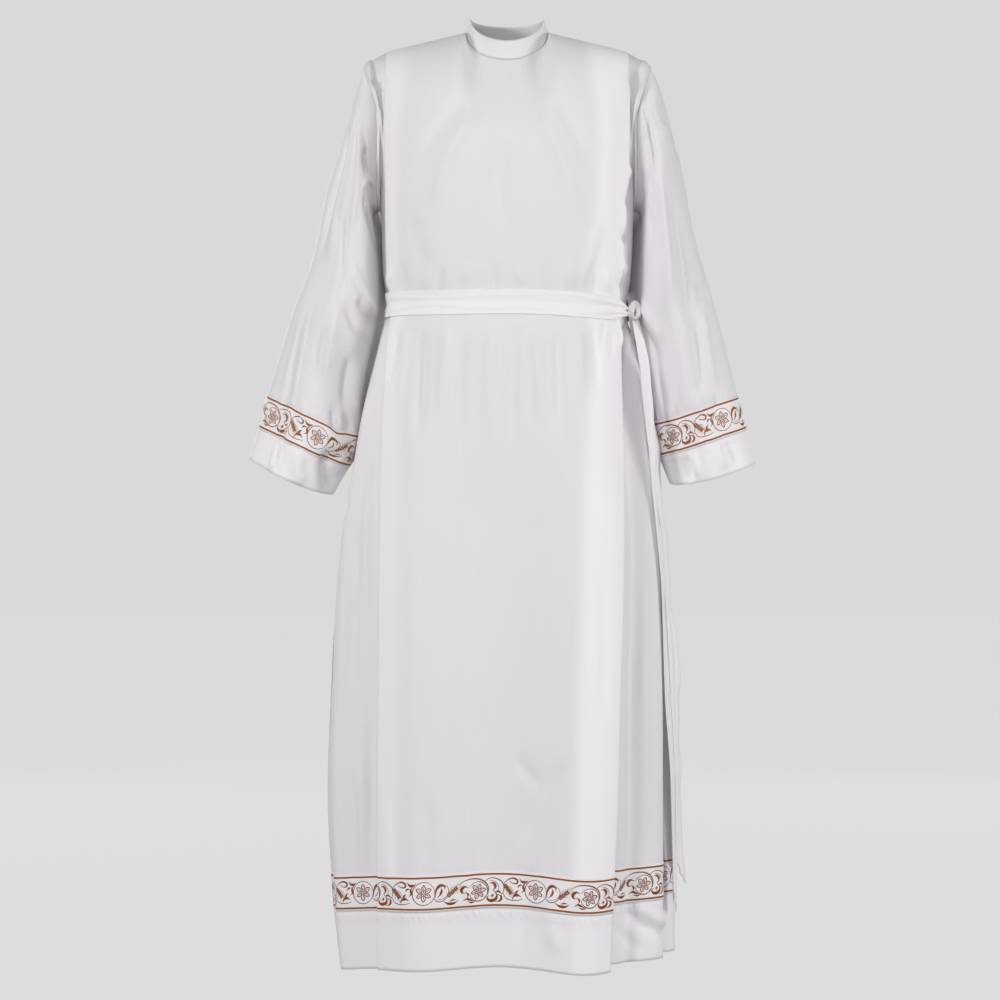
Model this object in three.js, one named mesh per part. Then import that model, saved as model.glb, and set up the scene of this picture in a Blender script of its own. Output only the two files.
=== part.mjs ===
// A priest's alb, worn open on a general figure: front and back with two knife pleats each, two sleeves,
// a stand collar, woven galloon bands at the hem and the cuffs, and a sash knotted at the wearer's left with
// two free ends. Millimetres. X points to the wearer's left, Y to the back and Z up, from the point where the
// neck meets the shoulder.
import * as THREE from "three";

// A table: the names of its columns, and its rows.
function table(names, rows) {
  const keys = names.split(" ");
  return rows.map((row) => Object.fromEntries(keys.map((key, i) => [key, row[i]])));
}

const WALL = 1.2; // cloth, as thick as a wall has to be
const SEAM_GAP = 0.3; // between two pieces that are sewn together
const BAND_WALL = 1.0; // galloon
const SASH_WALL = 1.6; // sash, cloth folded double

const LENGTH = 1478; // from the neck point down to the hem at the front pleats
const BAND_WIDTH = 58; // galloon, woven edge to woven edge
const BAND_ABOVE_HEM = 91; // from the hem to the galloon's lower edge
const COLLAR_LEAN = 0.88; // the collar's upper edge is this share of its seam

const PLEAT_BACK = 30; // how far a pleat's cloth is folded back under its edge
const PLEAT_TURN = 1.4; // radius of the turn at the pleat's edge
const PLEAT_INNER_TURN = { top: 1.4, hem: 3.2 }; // radius of the hidden turn, round the galloon at the hem
const PLEAT_SETTLE = { top: 22, hem: 55 }; // how far beyond the edge the side cloth comes back up
const CHEST_DOWN = 210; // below this the body is made of level sections
const UNDERARM_DOWN = 300; // the same, at the side seams
const OUTLINE_STEPS = 48; // in a quarter of a level section
const NECK_STEP = 6; // degrees between the points of the neck's edge
const SHOULDER_STEPS = 16;
const ARMHOLE_STEP = 2; // degrees between the points of the armhole's edge
const AFTER_ARMHOLE = 110; // length of the armhole's edge in which the shoulder's slope dies away
const SLOPE_STEP = 0.01; // the step in which the slope of the body's form is measured
const SLOPE_DROP = 4; // the same, down from the chest, in millimetres
const STEEP = new THREE.Vector3(0, 0.42, -0.9); // how the cloth leaves the upper edge at the neck and armholes
const LEVEL = new THREE.Vector3(0, 1, -0.12); // the same at the shoulder
const LEVEL_PULL = 1.25; // how much further it goes that way at the shoulder
const MITRE_LEAST = 0.72; // at a crease a wall's offset is lengthened, to keep its thickness, up to 1 over this
const SHEARED = 1.3; // a wall's cell whose one diagonal is so much longer is split along the other

// The body's level sections, without folds: reach to the wearer's right and left, to the front and the back,
// how square the corners are (2 is an ellipse), and where the pleats' edges lie, right and left of the middle.
const SECTIONS = table("down right left front back square pleatRight pleatLeft backPleat", [
  [0, 206, 206, 118, 106, 3.0, 192, 193, 150],
  [130, 204, 204, 130, 118, 3.0, 192, 194, 150],
  [290, 200, 201, 131, 118, 2.9, 192, 188, 146],
  [390, 197, 197, 124, 112, 2.8, 190, 181, 142],
  [445, 191, 190, 117, 104, 2.6, 184, 178, 140],
  [500, 203, 198, 125, 113, 2.6, 189, 181, 142],
  [640, 226, 214, 139, 138, 2.5, 194, 180, 146],
  [720, 242, 229, 144, 150, 2.4, 196, 178, 148],
  [790, 258, 243, 148, 158, 2.35, 197, 177, 150],
  [910, 273, 251, 153, 168, 2.3, 198, 175, 153],
  [1060, 281, 258, 158, 178, 2.25, 199, 170, 157],
  [1230, 286, 262, 163, 187, 2.2, 200, 166, 162],
  [1400, 276, 267, 166, 192, 2.2, 200, 159, 166],
  [1500, 265, 267, 167, 193, 2.2, 200, 156, 168],
]);

// The largest folds. A place is 0 at the middle, 1 at the pleat's edge and 2 at the side seam, below 0 to the
// wearer's right. A fold grows between two heights, start and full. Its depth is outwards, or inwards below 0.
const FOLDS = table("half start full at atHem width depth", [
  ["front", 480, 800, -0.12, -0.1, 95, -20],
  ["front", 470, 760, -0.72, -0.66, 60, 9],
  ["front", 470, 760, 0.7, 0.72, 60, 13],
  ["front", 455, 560, 1.22, 1.2, 15, -12],
  ["front", 500, 640, 1.55, 1.48, 18, 8],
  ["front", 620, 800, 1.8, 1.7, 18, -20],
  ["front", 480, 640, -1.62, -1.5, 22, 11],
  ["front", 700, 900, -1.82, -1.78, 20, -10],
  ["back", 470, 700, 0.08, 0.05, 70, -16],
  ["back", 480, 760, 0.62, 0.6, 48, 10],
  ["back", 480, 740, -0.6, -0.62, 50, 12],
  ["back", 470, 620, 1.38, 1.42, 30, -15],
  ["back", 520, 720, 1.74, 1.72, 26, 10],
  ["back", 470, 640, -1.36, -1.4, 30, -13],
  ["back", 540, 740, -1.72, -1.72, 26, 9],
]);

// How far the hem hangs above (+) or below (-) its height at the centre front.
const HEM_RISE = table("half place rise", [
  ["front", -2, -14],
  ["front", -1, 0],
  ["front", -0.6, 3],
  ["front", -0.1, 9],
  ["front", 0.3, 6],
  ["front", 0.7, -1],
  ["front", 1, 1],
  ["front", 1.2, 11],
  ["front", 2, 14],
  ["back", -2, -14],
  ["back", -1, -8],
  ["back", 0, 2],
  ["back", 1, 0],
  ["back", 2, 14],
]);
// Under the left pleat of the front, the side cloth's galloon and hem hang as high as they do at this place.
const HEM_STEP = { half: "front", side: 1, place: 1.2 };

// The collar's seam: its half width, its reach to the front and the back, its heights, and how its cloth rises.
const NECK = { width: 66, front: 74, back: 62, sideZ: -3, frontZ: -57, backZ: -12, rise: 0.35, sideRise: 0.9 };
const COLLAR_TOP = { sideZ: 20, frontZ: -26, backZ: 16 };
const SHOULDER = table("x z", [
  [66, -3],
  [136, -20],
  [190, -34],
  [214, -47],
]);
// The armhole's seam: its middle and half height, its reach to the front and the back, how its cloth leans at
// the shoulder tip, and how the body stays clear of it.
const ARMHOLE = { middle: -167, half: 120, front: 56, back: 52, lean: 0.5, clear: 3, bend: 4 };
// The armhole seam's distance from the middle, by the angle from the shoulder tip round to the underarm.
const ARMHOLE_REACH = table("angle x", [
  [0, 214],
  [28, 226],
  [44, 222],
  [60, 212],
  [78, 205],
  [110, 206],
  [180, 206],
]);

// Rings of the sleeves: the outer and the inner point, seen from the front, how far the ring reaches to the
// front and the back, how far its front sags, and how far the back of its inner side is tucked in behind the
// body. The galloon reaches from ring 9 to ring 11, counted from 0.
const SLEEVE_LEFT = table("outX outZ inX inZ front back sag tuck", [
  [214, -47, 206, -287, 56, 52, 0, 0],
  [224, -60, 212, -293, 64, 60, 0, 0],
  [241, -88, 214, -305, 73, 69, 0, 10],
  [257, -140, 212, -332, 81, 77, 2, 18],
  [272, -208, 210, -372, 85, 80, 4, 20],
  [288, -280, 209, -420, 84, 80, 5, 20],
  [306, -355, 210, -468, 81, 78, 5, 18],
  [326, -422, 214, -515, 77, 75, 4, 14],
  [348, -502, 223, -570, 73, 71, 3, 8],
  [368, -584, 234, -627, 69, 67, 2, 4],
  [374, -608, 238, -650, 68, 66, 3, 0],
  [381, -634, 243, -677, 67, 65, 4, 0],
  [388, -660, 251, -700, 66, 64, 7, 0],
  [396, -687, 260, -722, 65, 63, 11, 0],
]);
const SLEEVE_RIGHT = table("outX outZ inX inZ front back sag tuck", [
  [214, -47, 206, -287, 56, 52, 0, 0],
  [223, -65, 212, -293, 64, 60, 0, 0],
  [244, -112, 213, -308, 73, 69, 0, 10],
  [266, -186, 207, -340, 81, 77, 2, 18],
  [290, -266, 204, -386, 85, 80, 4, 20],
  [309, -360, 205, -440, 83, 80, 5, 20],
  [339, -440, 214, -492, 80, 78, 5, 20],
  [356, -496, 223, -540, 77, 75, 4, 22],
  [371, -545, 230, -592, 74, 72, 3, 24],
  [382, -582, 235, -648, 71, 69, 2, 24],
  [388, -606, 240, -670, 70, 68, 5, 22],
  [395, -631, 252, -692, 69, 67, 7, 16],
  [403, -656, 264, -715, 67, 65, 8, 8],
  [411, -682, 277, -739, 65, 63, 9, 0],
]);
const TUCK = { angle: 228, width: 30 }; // where round a sleeve that part lies, in degrees
// The sleeves' largest folds: the ring and the angle round it where each starts and ends.
const SLEEVE_LEFT_FOLDS = table("from angle to angleEnd width depth", [
  [3, 62, 13, 70, 24, -9],
  [5, 118, 13, 108, 26, -12],
  [4, 100, 12, 92, 22, 7],
  [3, 250, 12, 262, 30, -9],
]);
const SLEEVE_RIGHT_FOLDS = table("from angle to angleEnd width depth", [
  [2, 66, 13, 44, 22, -8],
  [3, 104, 8, 132, 22, -11],
  [6, 92, 13, 116, 28, -11],
  [3, 250, 12, 262, 30, -9],
]);

// The sash: how far down its middle lies at the back and how much lower at the knot, its height, how far it
// clears the body, and how it is drawn together within a reach of the knot, where it stands off.
const SASH = {
  down: 441,
  dropAtKnot: 10,
  dropReach: 1.4,
  knotPlace: 1.42,
  height: 39,
  clear: 0.5,
  pinch: 0.4,
  pinchReach: 60,
  standOff: 3,
};
// The knot's loop: its middle, its half width and half height, the thickness of the cloth in it, how much more
// that is at the top, how much deeper than thick it is, and its turn.
const KNOT = {
  x: 201.6,
  y: -39,
  z: -450,
  acrossX: 6,
  acrossZ: 11.5,
  thick: 3.9,
  topThicker: 0.25,
  flat: 1.5,
  turn: 24,
};
// Middle line of each free end, the direction in which its width lies, from above, and its width.
const SASH_END_FRONT = table("x y z turn width", [
  [201.4, -40.8, -464.6, 62, 8],
  [205.5, -53, -483, 60, 11],
  [209.5, -64, -500, 56, 18],
  [217, -70, -545, 56, 24],
  [223, -70, -600, 60, 28],
  [227.5, -68, -660, 68, 32],
  [231.5, -66, -730, 78, 34],
  [238.5, -64, -800, 78, 35],
  [244.5, -62, -880, 82, 36],
  [252, -62, -1060, 78, 36],
  [260, -62, -1180, 80, 36],
  [264, -62, -1362, 82, 36],
]);
const SASH_END_BACK = table("x y z turn width", [
  [206.6, -38.6, -463.6, 64, 8],
  [212, -38, -483, 72, 11],
  [215, -41, -500, 75, 15],
  [219, -42, -545, 75, 18],
  [226, -42, -600, 74, 24],
  [234.5, -38, -660, 70, 30],
  [240, -30, -730, 68, 34],
  [248.5, -28, -800, 72, 35],
  [254, -26, -880, 73, 36],
  [263, -26, -980, 62, 36],
  [267, -26, -1060, 63, 36],
  [270, -26, -1180, 74, 36],
  [275.5, -26, -1322, 64, 36],
]);
const SASH_END_SLANT = 38; // how much longer one corner of a free end is than the other

const CLOTH_WHITE = { color: 0xe6e4ea, roughness: 0.72, metalness: 0 };
const GALLOON_WHITE = { color: 0xf1eee9, roughness: 0.5, metalness: 0 };

const clamp = (value, low, high) => Math.min(high, Math.max(low, value));
const mix = (a, b, share) => a + (b - a) * share;
const radians = THREE.MathUtils.degToRad;

function smooth(value, low, high) {
  const share = clamp((value - low) / (high - low), 0, 1);
  return share * share * (3 - 2 * share);
}

// A column of a table at a place between its rows, on a smooth curve through them.
function column(rows, key, at, name) {
  const last = rows.length - 1;
  const place = clamp(at, rows[0][key], rows[last][key]);
  let i = 0;
  while (i < last - 1 && rows[i + 1][key] < place) i++;
  const slope = (k) => {
    const before = rows[Math.max(k - 1, 0)];
    const after = rows[Math.min(k + 1, last)];
    return (after[name] - before[name]) / (after[key] - before[key]);
  };
  const [a, b] = [rows[i], rows[i + 1]];
  const step = b[key] - a[key];
  const t = (place - a[key]) / step;
  const rise = b[name] - a[name];
  const startSlope = slope(i) * step;
  const endSlope = slope(i + 1) * step;
  return a[name] + t * startSlope
    + t * t * (3 * rise - 2 * startSlope - endSlope)
    + t * t * t * (startSlope + endSlope - 2 * rise);
}

// A line of points with the length up to each of them.
function measured(points) {
  const lengths = [0];
  for (let i = 1; i < points.length; i++) lengths.push(lengths[i - 1] + points[i].distanceTo(points[i - 1]));
  return { points, lengths, total: lengths.at(-1) };
}

// A value of an evenly stepped list at a place between its steps.
function alongTable(list, place) {
  const i = clamp(Math.floor(place), 0, list.length - 2);
  return mix(list[i], list[i + 1], place - i);
}

function alongLine(line, length) {
  const wanted = clamp(length, 0, line.total);
  let i = 1;
  while (i < line.points.length - 1 && line.lengths[i] < wanted) i++;
  const share = (wanted - line.lengths[i - 1]) / (line.lengths[i] - line.lengths[i - 1]);
  return line.points[i - 1].clone().lerp(line.points[i], share);
}

// ---- the body's form -------------------------------------------------------------------------------------------

const sideOf = (place) => (place < 0 ? -1 : 1);
const forward = (half) => (half === "front" ? -1 : 1);
const outlines = new Map();

function pleatName(half, side) {
  if (half === "back") return "backPleat";
  return side < 0 ? "pleatRight" : "pleatLeft";
}

// The length along a line at which it gets further than x from the middle, looked for after its first points.
function lengthTo(line, x, first) {
  const away = line.points.map((point) => Math.abs(point.x));
  const i = away.findIndex((distance, k) => k > first && distance > x);
  const share = (x - away[i - 1]) / (away[i] - away[i - 1]);
  return mix(line.lengths[i - 1], line.lengths[i], share);
}

// A quarter of the level section at one height, from the middle of the front or back round to the side seam.
function outline(half, side, down) {
  const name = [half, side, down.toFixed(3)].join();
  if (!outlines.has(name)) {
    const width = column(SECTIONS, "down", down, side < 0 ? "right" : "left");
    const depth = column(SECTIONS, "down", down, half);
    const square = column(SECTIONS, "down", down, "square");
    const points = [];
    for (let i = 0; i <= OUTLINE_STEPS; i++) {
      const angle = ((i / OUTLINE_STEPS) * Math.PI) / 2;
      const [across, along] = [Math.sin(angle), Math.max(Math.cos(angle), 0)];
      const reach = ((across / width) ** square + (along / depth) ** square) ** (-1 / square);
      points.push(new THREE.Vector3(side * reach * across, forward(half) * reach * along, -down));
    }
    const line = measured(points);
    line.pleat = lengthTo(line, column(SECTIONS, "down", down, pleatName(half, side)), 0);
    outlines.set(name, line);
  }
  return outlines.get(name);
}

// The collar's seam, from the centre front (0 degrees) round the wearer's left to the centre back (180 degrees).
function neckPoint(degrees, ring = NECK, scale = 1) {
  const angle = radians(degrees);
  const [across, along] = [Math.sin(angle), Math.cos(angle)];
  const depth = along > 0 ? NECK.front : NECK.back;
  const z = mix(ring.sideZ, along > 0 ? ring.frontZ : ring.backZ, Math.abs(along));
  return new THREE.Vector3(scale * NECK.width * across, -scale * depth * along, z);
}

// The armhole's seam on the wearer's left, from the shoulder tip (0 degrees) round the front (90) to the
// underarm (180).
function armholePoint(degrees) {
  const angle = radians(degrees);
  const depth = Math.sin(angle) > 0 ? ARMHOLE.front : ARMHOLE.back;
  const x = column(ARMHOLE_REACH, "angle", degrees > 180 ? 360 - degrees : degrees, "x");
  return new THREE.Vector3(x, -depth * Math.sin(angle), ARMHOLE.middle + ARMHOLE.half * Math.cos(angle));
}

// Outwards across the armhole's seam: the direction in which both cloths have their thickness there. It leans
// to the side at the shoulder tip.
function armholeOut(degrees, side) {
  const angle = radians(degrees);
  const lean = ARMHOLE.lean * Math.max(Math.cos(angle), 0);
  return new THREE.Vector3(side * lean, -Math.sin(angle), Math.cos(angle)).normalize();
}

// The same across the neck's seam, which rises more at the sides than at the front and the back.
function neckOut(degrees, side) {
  const angle = radians(degrees);
  const rise = mix(NECK.rise, NECK.sideRise, Math.abs(Math.sin(angle)));
  return new THREE.Vector3(side * Math.sin(angle), -Math.cos(angle), rise).normalize();
}

// The step across a seam on the wearer's left, from the body's edge to the edge of the piece that is sewn on.
function seamStep(pointAt, outAt, degrees) {
  const along = pointAt(degrees + 1).sub(pointAt(degrees - 1));
  return outAt(degrees, 1).cross(along).setLength(SEAM_GAP);
}

// The upper edge of a quarter of the body: half the neck, the shoulder seam and half the armhole.
function upperEdge(half, side) {
  const points = [];
  const back = half === "back";
  for (let degrees = 0; degrees < 90; degrees += NECK_STEP) {
    points.push(neckPoint(back ? 180 - degrees : degrees));
  }
  const neck = points.length;
  for (let step = 0; step < SHOULDER_STEPS; step++) {
    const x = mix(SHOULDER[0].x, SHOULDER.at(-1).x, step / SHOULDER_STEPS);
    points.push(new THREE.Vector3(x, 0, column(SHOULDER, "x", x, "z")));
  }
  const tip = points.length;
  for (let degrees = 0; degrees <= 180; degrees += ARMHOLE_STEP) {
    points.push(armholePoint(back ? 360 - degrees : degrees));
  }
  points.forEach((point) => (point.x *= side));
  const line = measured(points);
  line.pleat = lengthTo(line, SECTIONS[0][pleatName(half, side)], neck);
  line.neck = line.lengths[neck];
  line.tip = line.lengths[tip];
  line.neckAt = (degrees) => alongTable(line.lengths, degrees / NECK_STEP);
  line.armholeAt = (degrees) => alongTable(line.lengths.slice(tip), degrees / ARMHOLE_STEP);
  return line;
}

const UPPER_EDGES = new Map(
  ["front", "back"].flatMap((half) => [-1, 1].map((side) => [half + side, upperEdge(half, side)])),
);

// A place (0 middle, 1 pleat's edge, 2 side seam) as a length along an outline or an upper edge, and back.
function lengthAt(line, place) {
  const distance = Math.abs(place);
  return distance <= 1 ? distance * line.pleat : mix(line.pleat, line.total, distance - 1);
}

function placeOf(line, length) {
  if (length <= line.pleat) return length / line.pleat;
  return 1 + (length - line.pleat) / (line.total - line.pleat);
}

const chestDown = (place) => mix(CHEST_DOWN, UNDERARM_DOWN, smooth(Math.abs(place), 1, 2));

function hemDown(half, place) {
  const rows = HEM_RISE.filter((row) => row.half === half);
  return LENGTH - column(rows, "place", place, "rise");
}

function sectionPoint(half, place, down) {
  const line = outline(half, sideOf(place), down);
  return alongLine(line, lengthAt(line, place));
}

// The body's form without pleats and folds. level is 0 at the upper edge, 1 at the chest and 2 at the hem. Above
// the chest each line of cloth leaves the upper edge steeply at the neck and the armhole, and level at the
// shoulder.
function bodyForm(half, place, level) {
  if (level >= 1) return sectionPoint(half, place, downAt(half, place, level));
  const edge = UPPER_EDGES.get(half + sideOf(place));
  const start = alongLine(edge, lengthAt(edge, place));
  const end = sectionPoint(half, place, chestDown(place));
  const below = sectionPoint(half, place, chestDown(place) + SLOPE_DROP);
  const drop = start.distanceTo(end);
  const length = lengthAt(edge, place);
  const afterNeck = smooth(length, edge.neck * 0.2, edge.neck);
  const atShoulder = afterNeck * (1 - smooth(length, edge.tip, edge.tip + AFTER_ARMHOLE));
  const leave = STEEP.clone().lerp(LEVEL, atShoulder);
  leave.y *= forward(half);
  leave.normalize().multiplyScalar(drop * mix(1, LEVEL_PULL, atShoulder));
  const arrive = below.sub(end).normalize().multiplyScalar(drop);
  const [t, t2, t3] = [level, level * level, level ** 3];
  const point = start.multiplyScalar(2 * t3 - 3 * t2 + 1)
    .addScaledVector(leave, t3 - 2 * t2 + t)
    .addScaledVector(end, 3 * t2 - 2 * t3)
    .addScaledVector(arrive, t3 - t2);
  return keepInsideArmhole(point, smooth(level, 0, 0.14));
}

// Bends the cloth beside an armhole inwards where it would reach past the seam, so that it stays clear of the
// sleeve.
function keepInsideArmhole(point, strength) {
  const height = clamp((point.z - ARMHOLE.middle) / ARMHOLE.half, -1, 1);
  const seam = column(ARMHOLE_REACH, "angle", THREE.MathUtils.radToDeg(Math.acos(height)), "x");
  const free = seam - ARMHOLE.clear - ARMHOLE.bend;
  const beyond = Math.abs(point.x) - free;
  if (beyond > 0) {
    const kept = free + ARMHOLE.bend * (1 - Math.exp(-beyond / ARMHOLE.bend));
    point.x = Math.sign(point.x) * mix(Math.abs(point.x), kept, strength);
  }
  return point;
}

// Outwards from the body's form.
function bodyOut(half, place, level) {
  const near = Math.abs(place) > 1.9 ? Math.max(level, 1) : level;
  const at = (p, l) => bodyForm(half, clamp(p, -2, 2), clamp(l, 0, 2));
  const across = at(place + SLOPE_STEP, near).sub(at(place - SLOPE_STEP, near));
  const down = at(place, near + SLOPE_STEP).sub(at(place, near - SLOPE_STEP));
  return (half === "front" ? down.cross(across) : across.cross(down)).normalize();
}

function downAt(half, place, level) {
  return level < 1 ? level * chestDown(place) : mix(chestDown(place), hemDown(half, place), level - 1);
}

// How far the folds lift the cloth at a place and a level.
function foldLift(half, place, level) {
  const down = downAt(half, place, level);
  const line = outline(half, sideOf(place), Math.max(down, CHEST_DOWN));
  const along = (p) => sideOf(p) * lengthAt(line, p);
  return FOLDS.filter((fold) => fold.half === half).reduce((lift, fold) => {
    const middle = mix(fold.at, fold.atHem, smooth(down, fold.start, LENGTH));
    const distance = (along(place) - along(middle)) / fold.width;
    return lift + fold.depth * smooth(down, fold.start, fold.full) * Math.exp(-distance * distance);
  }, 0);
}

// ---- columns of cloth ------------------------------------------------------------------------------------------

// Half of a panel's columns, from the middle to the side seam. Each gives where it starts on the upper edge
// (degrees round the neck, share of the shoulder seam, or degrees round the armhole) and its place on the level
// sections.
const PANEL_COLUMNS = [
  { neck: 30, place: 0.16 },
  { neck: 60, place: 0.32 },
  { neck: 90, place: 0.47 },
  { shoulder: 0.3, place: 0.62 },
  { shoulder: 0.54, place: 0.76 },
  { shoulder: 0.72, place: 0.88 },
];
// Across a pleat: how far back from its edge a column lies, in millimetres and in radii of the turn there, and
// how much of the outer and of the inner turn it is past.
const PLEAT_COLUMNS = [
  { back: 0, radii: 1, outer: 0, inner: 0 },
  { back: 0, radii: 0, outer: 0.5, inner: 0 },
  { back: 0, radii: 1, outer: 1, inner: 0 },
  { back: PLEAT_BACK, radii: -1, outer: 1, inner: 0, under: true },
  { back: PLEAT_BACK, radii: 0, outer: 1, inner: 0.5, under: true },
  { back: PLEAT_BACK, radii: -1, outer: 1, inner: 1, under: true },
  { back: 2, radii: 0, outer: 1, inner: 1, under: true },
];
const SIDE_COLUMNS = [
  { shoulder: 0.93, place: 1.07 },
  { armhole: 0, place: 1.15 },
  { armhole: 20, place: 1.25 },
  { armhole: 40, place: 1.36 },
  { armhole: 60, place: 1.48 },
  { armhole: 82, place: 1.61 },
  { armhole: 110, place: 1.75 },
  { armhole: 144, place: 1.88 },
  { armhole: 180, place: 2 },
];
const ARMHOLE_DEGREES = SIDE_COLUMNS.map((one) => one.armhole).filter((degrees) => degrees !== undefined);

function allColumns() {
  const half = [...PANEL_COLUMNS, ...PLEAT_COLUMNS, ...SIDE_COLUMNS];
  const right = half.map((one) => ({ ...one, side: -1 })).reverse();
  return [...right, { neck: 0, place: 0, side: 1 }, ...half.map((one) => ({ ...one, side: 1 }))];
}

// Where a column starts on the upper edge, as a place.
function startPlace(edge, one) {
  if (one.neck !== undefined) return placeOf(edge, edge.neckAt(one.neck));
  if (one.shoulder !== undefined) return placeOf(edge, mix(edge.neck, edge.tip, one.shoulder));
  return placeOf(edge, edge.armholeAt(one.armhole));
}

// A column's place at a level, and how deep it lies under the body's form.
function columnAt(half, one, level) {
  const edge = UPPER_EDGES.get(half + one.side);
  const line = level < 0.5 ? edge : outline(half, one.side, downAt(half, one.side, Math.max(level, 1)));
  const innerTurn = mix(PLEAT_INNER_TURN.top, PLEAT_INNER_TURN.hem, level / 2);
  if (one.back !== undefined) {
    const turn = one.back === PLEAT_BACK ? innerTurn : PLEAT_TURN;
    const place = 1 - (one.back + one.radii * turn) / line.pleat;
    return { place: one.side * place, depth: 2 * (one.outer * PLEAT_TURN + one.inner * innerTurn) };
  }
  const place = mix(startPlace(edge, one), one.place, smooth(level, 0, 1));
  const beyond = (place - 1) * (line.total - line.pleat);
  const settle = mix(PLEAT_SETTLE.top, PLEAT_SETTLE.hem, level / 2);
  const depth = place < 1 ? 0 : 2 * (PLEAT_TURN + innerTurn) * (1 - smooth(beyond, 0, settle));
  return { place: one.side * place, depth };
}

// The middle of the panel's wall at a column and a level.
function panelPoint(half, one, level) {
  const { place, depth } = columnAt(half, one, level);
  const lift = foldLift(half, place, level) - depth;
  const out = bodyOut(half, place, level);
  if (level === 0 || Math.abs(place) === 2) out.setY(0).normalize();
  const point = bodyForm(half, place, level).addScaledVector(out, lift);
  point.y += (forward(half) * SEAM_GAP) / 2;
  return point;
}

// ---- walls -----------------------------------------------------------------------------------------------------

// The wall of a sheet of cloth: rows of points on its middle, given a thickness along the sheet's normals and
// closed at its edges. A ring's rows close on themselves. fixed(row, column, normal) may give the direction of
// the thickness at a seam.
function wall(rows, thickness, { ring = false, fixed = () => null } = {}) {
  const ids = new Map();
  const points = [];
  const grid = rows.map((row) => row.map((point) => {
    const key = point.toArray().map((value) => value.toFixed(4)).join();
    if (!ids.has(key)) {
      ids.set(key, points.length);
      points.push(point);
    }
    return ids.get(key);
  }));
  const faces = [];
  const width = grid[0].length;
  for (let r = 0; r + 1 < grid.length; r++) {
    for (let c = 0; c < (ring ? width : width - 1); c++) {
      const [a, b] = [grid[r][c], grid[r][(c + 1) % width]];
      const [d, e] = [grid[r + 1][c], grid[r + 1][(c + 1) % width]];
      const sheared = points[a].distanceTo(points[e]) > SHEARED * points[b].distanceTo(points[d]);
      faces.push(...(sheared ? [[a, d, b], [b, d, e]] : [[a, d, e], [a, e, b]]));
    }
  }
  const solid = faces.filter(([a, b, c]) => a !== b && b !== c && a !== c);
  const faceNormals = solid.map(([a, b, c]) => {
    return points[b].clone().sub(points[a]).cross(points[c].clone().sub(points[a])).normalize();
  });
  const normals = points.map(() => new THREE.Vector3());
  solid.forEach((face, f) => face.forEach((id) => normals[id].add(faceNormals[f])));
  normals.forEach((normal) => normal.normalize());
  const least = points.map(() => 1);
  solid.forEach((face, f) => face.forEach((id) => {
    least[id] = Math.min(least[id], faceNormals[f].dot(normals[id]));
  }));
  normals.forEach((normal, id) => normal.divideScalar(Math.max(least[id], MITRE_LEAST)));
  grid.forEach((row, r) => row.forEach((id, c) => {
    const direction = fixed(r, c, normals[id]);
    if (direction) normals[id].copy(direction);
  }));
  const offsets = normals.map((normal) => normal.clone().multiplyScalar(thickness / 2));

  const count = points.length;
  const outer = points.map((point, k) => point.clone().add(offsets[k]));
  const inner = points.map((point, k) => point.clone().sub(offsets[k]));
  const triangles = solid.flatMap(([a, b, c]) => [[a, b, c], [a + count, c + count, b + count]]);
  const edges = new Set(solid.flatMap(([a, b, c]) => [[a, b].join(), [b, c].join(), [c, a].join()]));
  for (const edge of edges) {
    const [a, b] = edge.split(",").map(Number);
    if (!edges.has([b, a].join())) triangles.push([b, a, a + count], [b, a + count, b + count]);
  }
  const geometry = new THREE.BufferGeometry().setFromPoints([...outer, ...inner]);
  geometry.setIndex(triangles.flat());
  geometry.computeVertexNormals();
  return { geometry, normals, grid, points };
}

function mesh(name, geometry, look) {
  const piece = new THREE.Mesh(geometry, new THREE.MeshStandardMaterial({ ...look, side: THREE.FrontSide }));
  piece.name = name;
  return piece;
}

// A band that lies on a wall: the wall's own points in some of its rows, moved out by their normals.
function bandOn(base, rows, thickness, options) {
  const out = (WALL + thickness) / 2 + SEAM_GAP;
  const lifted = (id) => base.points[id].clone().addScaledVector(base.normals[id], out);
  const sheet = rows.map((r) => base.grid[r].map(lifted));
  return wall(sheet, thickness, { ...options, fixed: (r, c) => base.normals[base.grid[rows[r]][c]] });
}

// ---- front and back --------------------------------------------------------------------------------------------

const UPPER_LEVELS = [0, 0.16, 0.4, 0.7, 1];
const LOWER_DOWNS = [350, 520, 640, 780, 950, 1140];
const COLUMNS = allColumns();

// How far below the neck point the sash's middle lies at a place on the front or back: lowest at the knot.
// Two places meet at each side seam, so the back's are counted on from the front's.
function sashDown(half, place) {
  const fromKnot = half === "front" ? Math.abs(place - SASH.knotPlace) : 4 - SASH.knotPlace - place;
  return SASH.down + SASH.dropAtKnot * (1 - smooth(fromKnot, 0, SASH.dropReach));
}

// The hem at a column: under the pleat of HEM_STEP, it is that of the side cloth.
function ownHem(half, one, place) {
  const under = one.under || Math.abs(place) > 1;
  const stepped = under && half === HEM_STEP.half && one.side === HEM_STEP.side;
  return hemDown(half, stepped ? one.side * Math.max(Math.abs(place), HEM_STEP.place) : place);
}

// The panel's levels at a column: from its upper edge to the chest, along both edges of the sash and of the
// galloon on the level sections, and to the hem.
function levelsAt(half, one) {
  const place = columnAt(half, one, 2).place;
  const [top, hem, own] = [chestDown(place), hemDown(half, place), ownHem(half, one, place)];
  const sash = [-0.5, 0.5].map((share) => sashDown(half, place) + share * SASH.height);
  const galloon = [own - BAND_ABOVE_HEM - BAND_WIDTH, own - BAND_ABOVE_HEM];
  const downs = [...LOWER_DOWNS, ...sash, ...galloon, own].sort((a, b) => a - b);
  return [...UPPER_LEVELS, ...downs.map((down) => 1 + (down - top) / (hem - top))];
}
const SASH_ROWS = [6, 7];
const GALLOON_ROWS = [13, 14];

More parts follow.
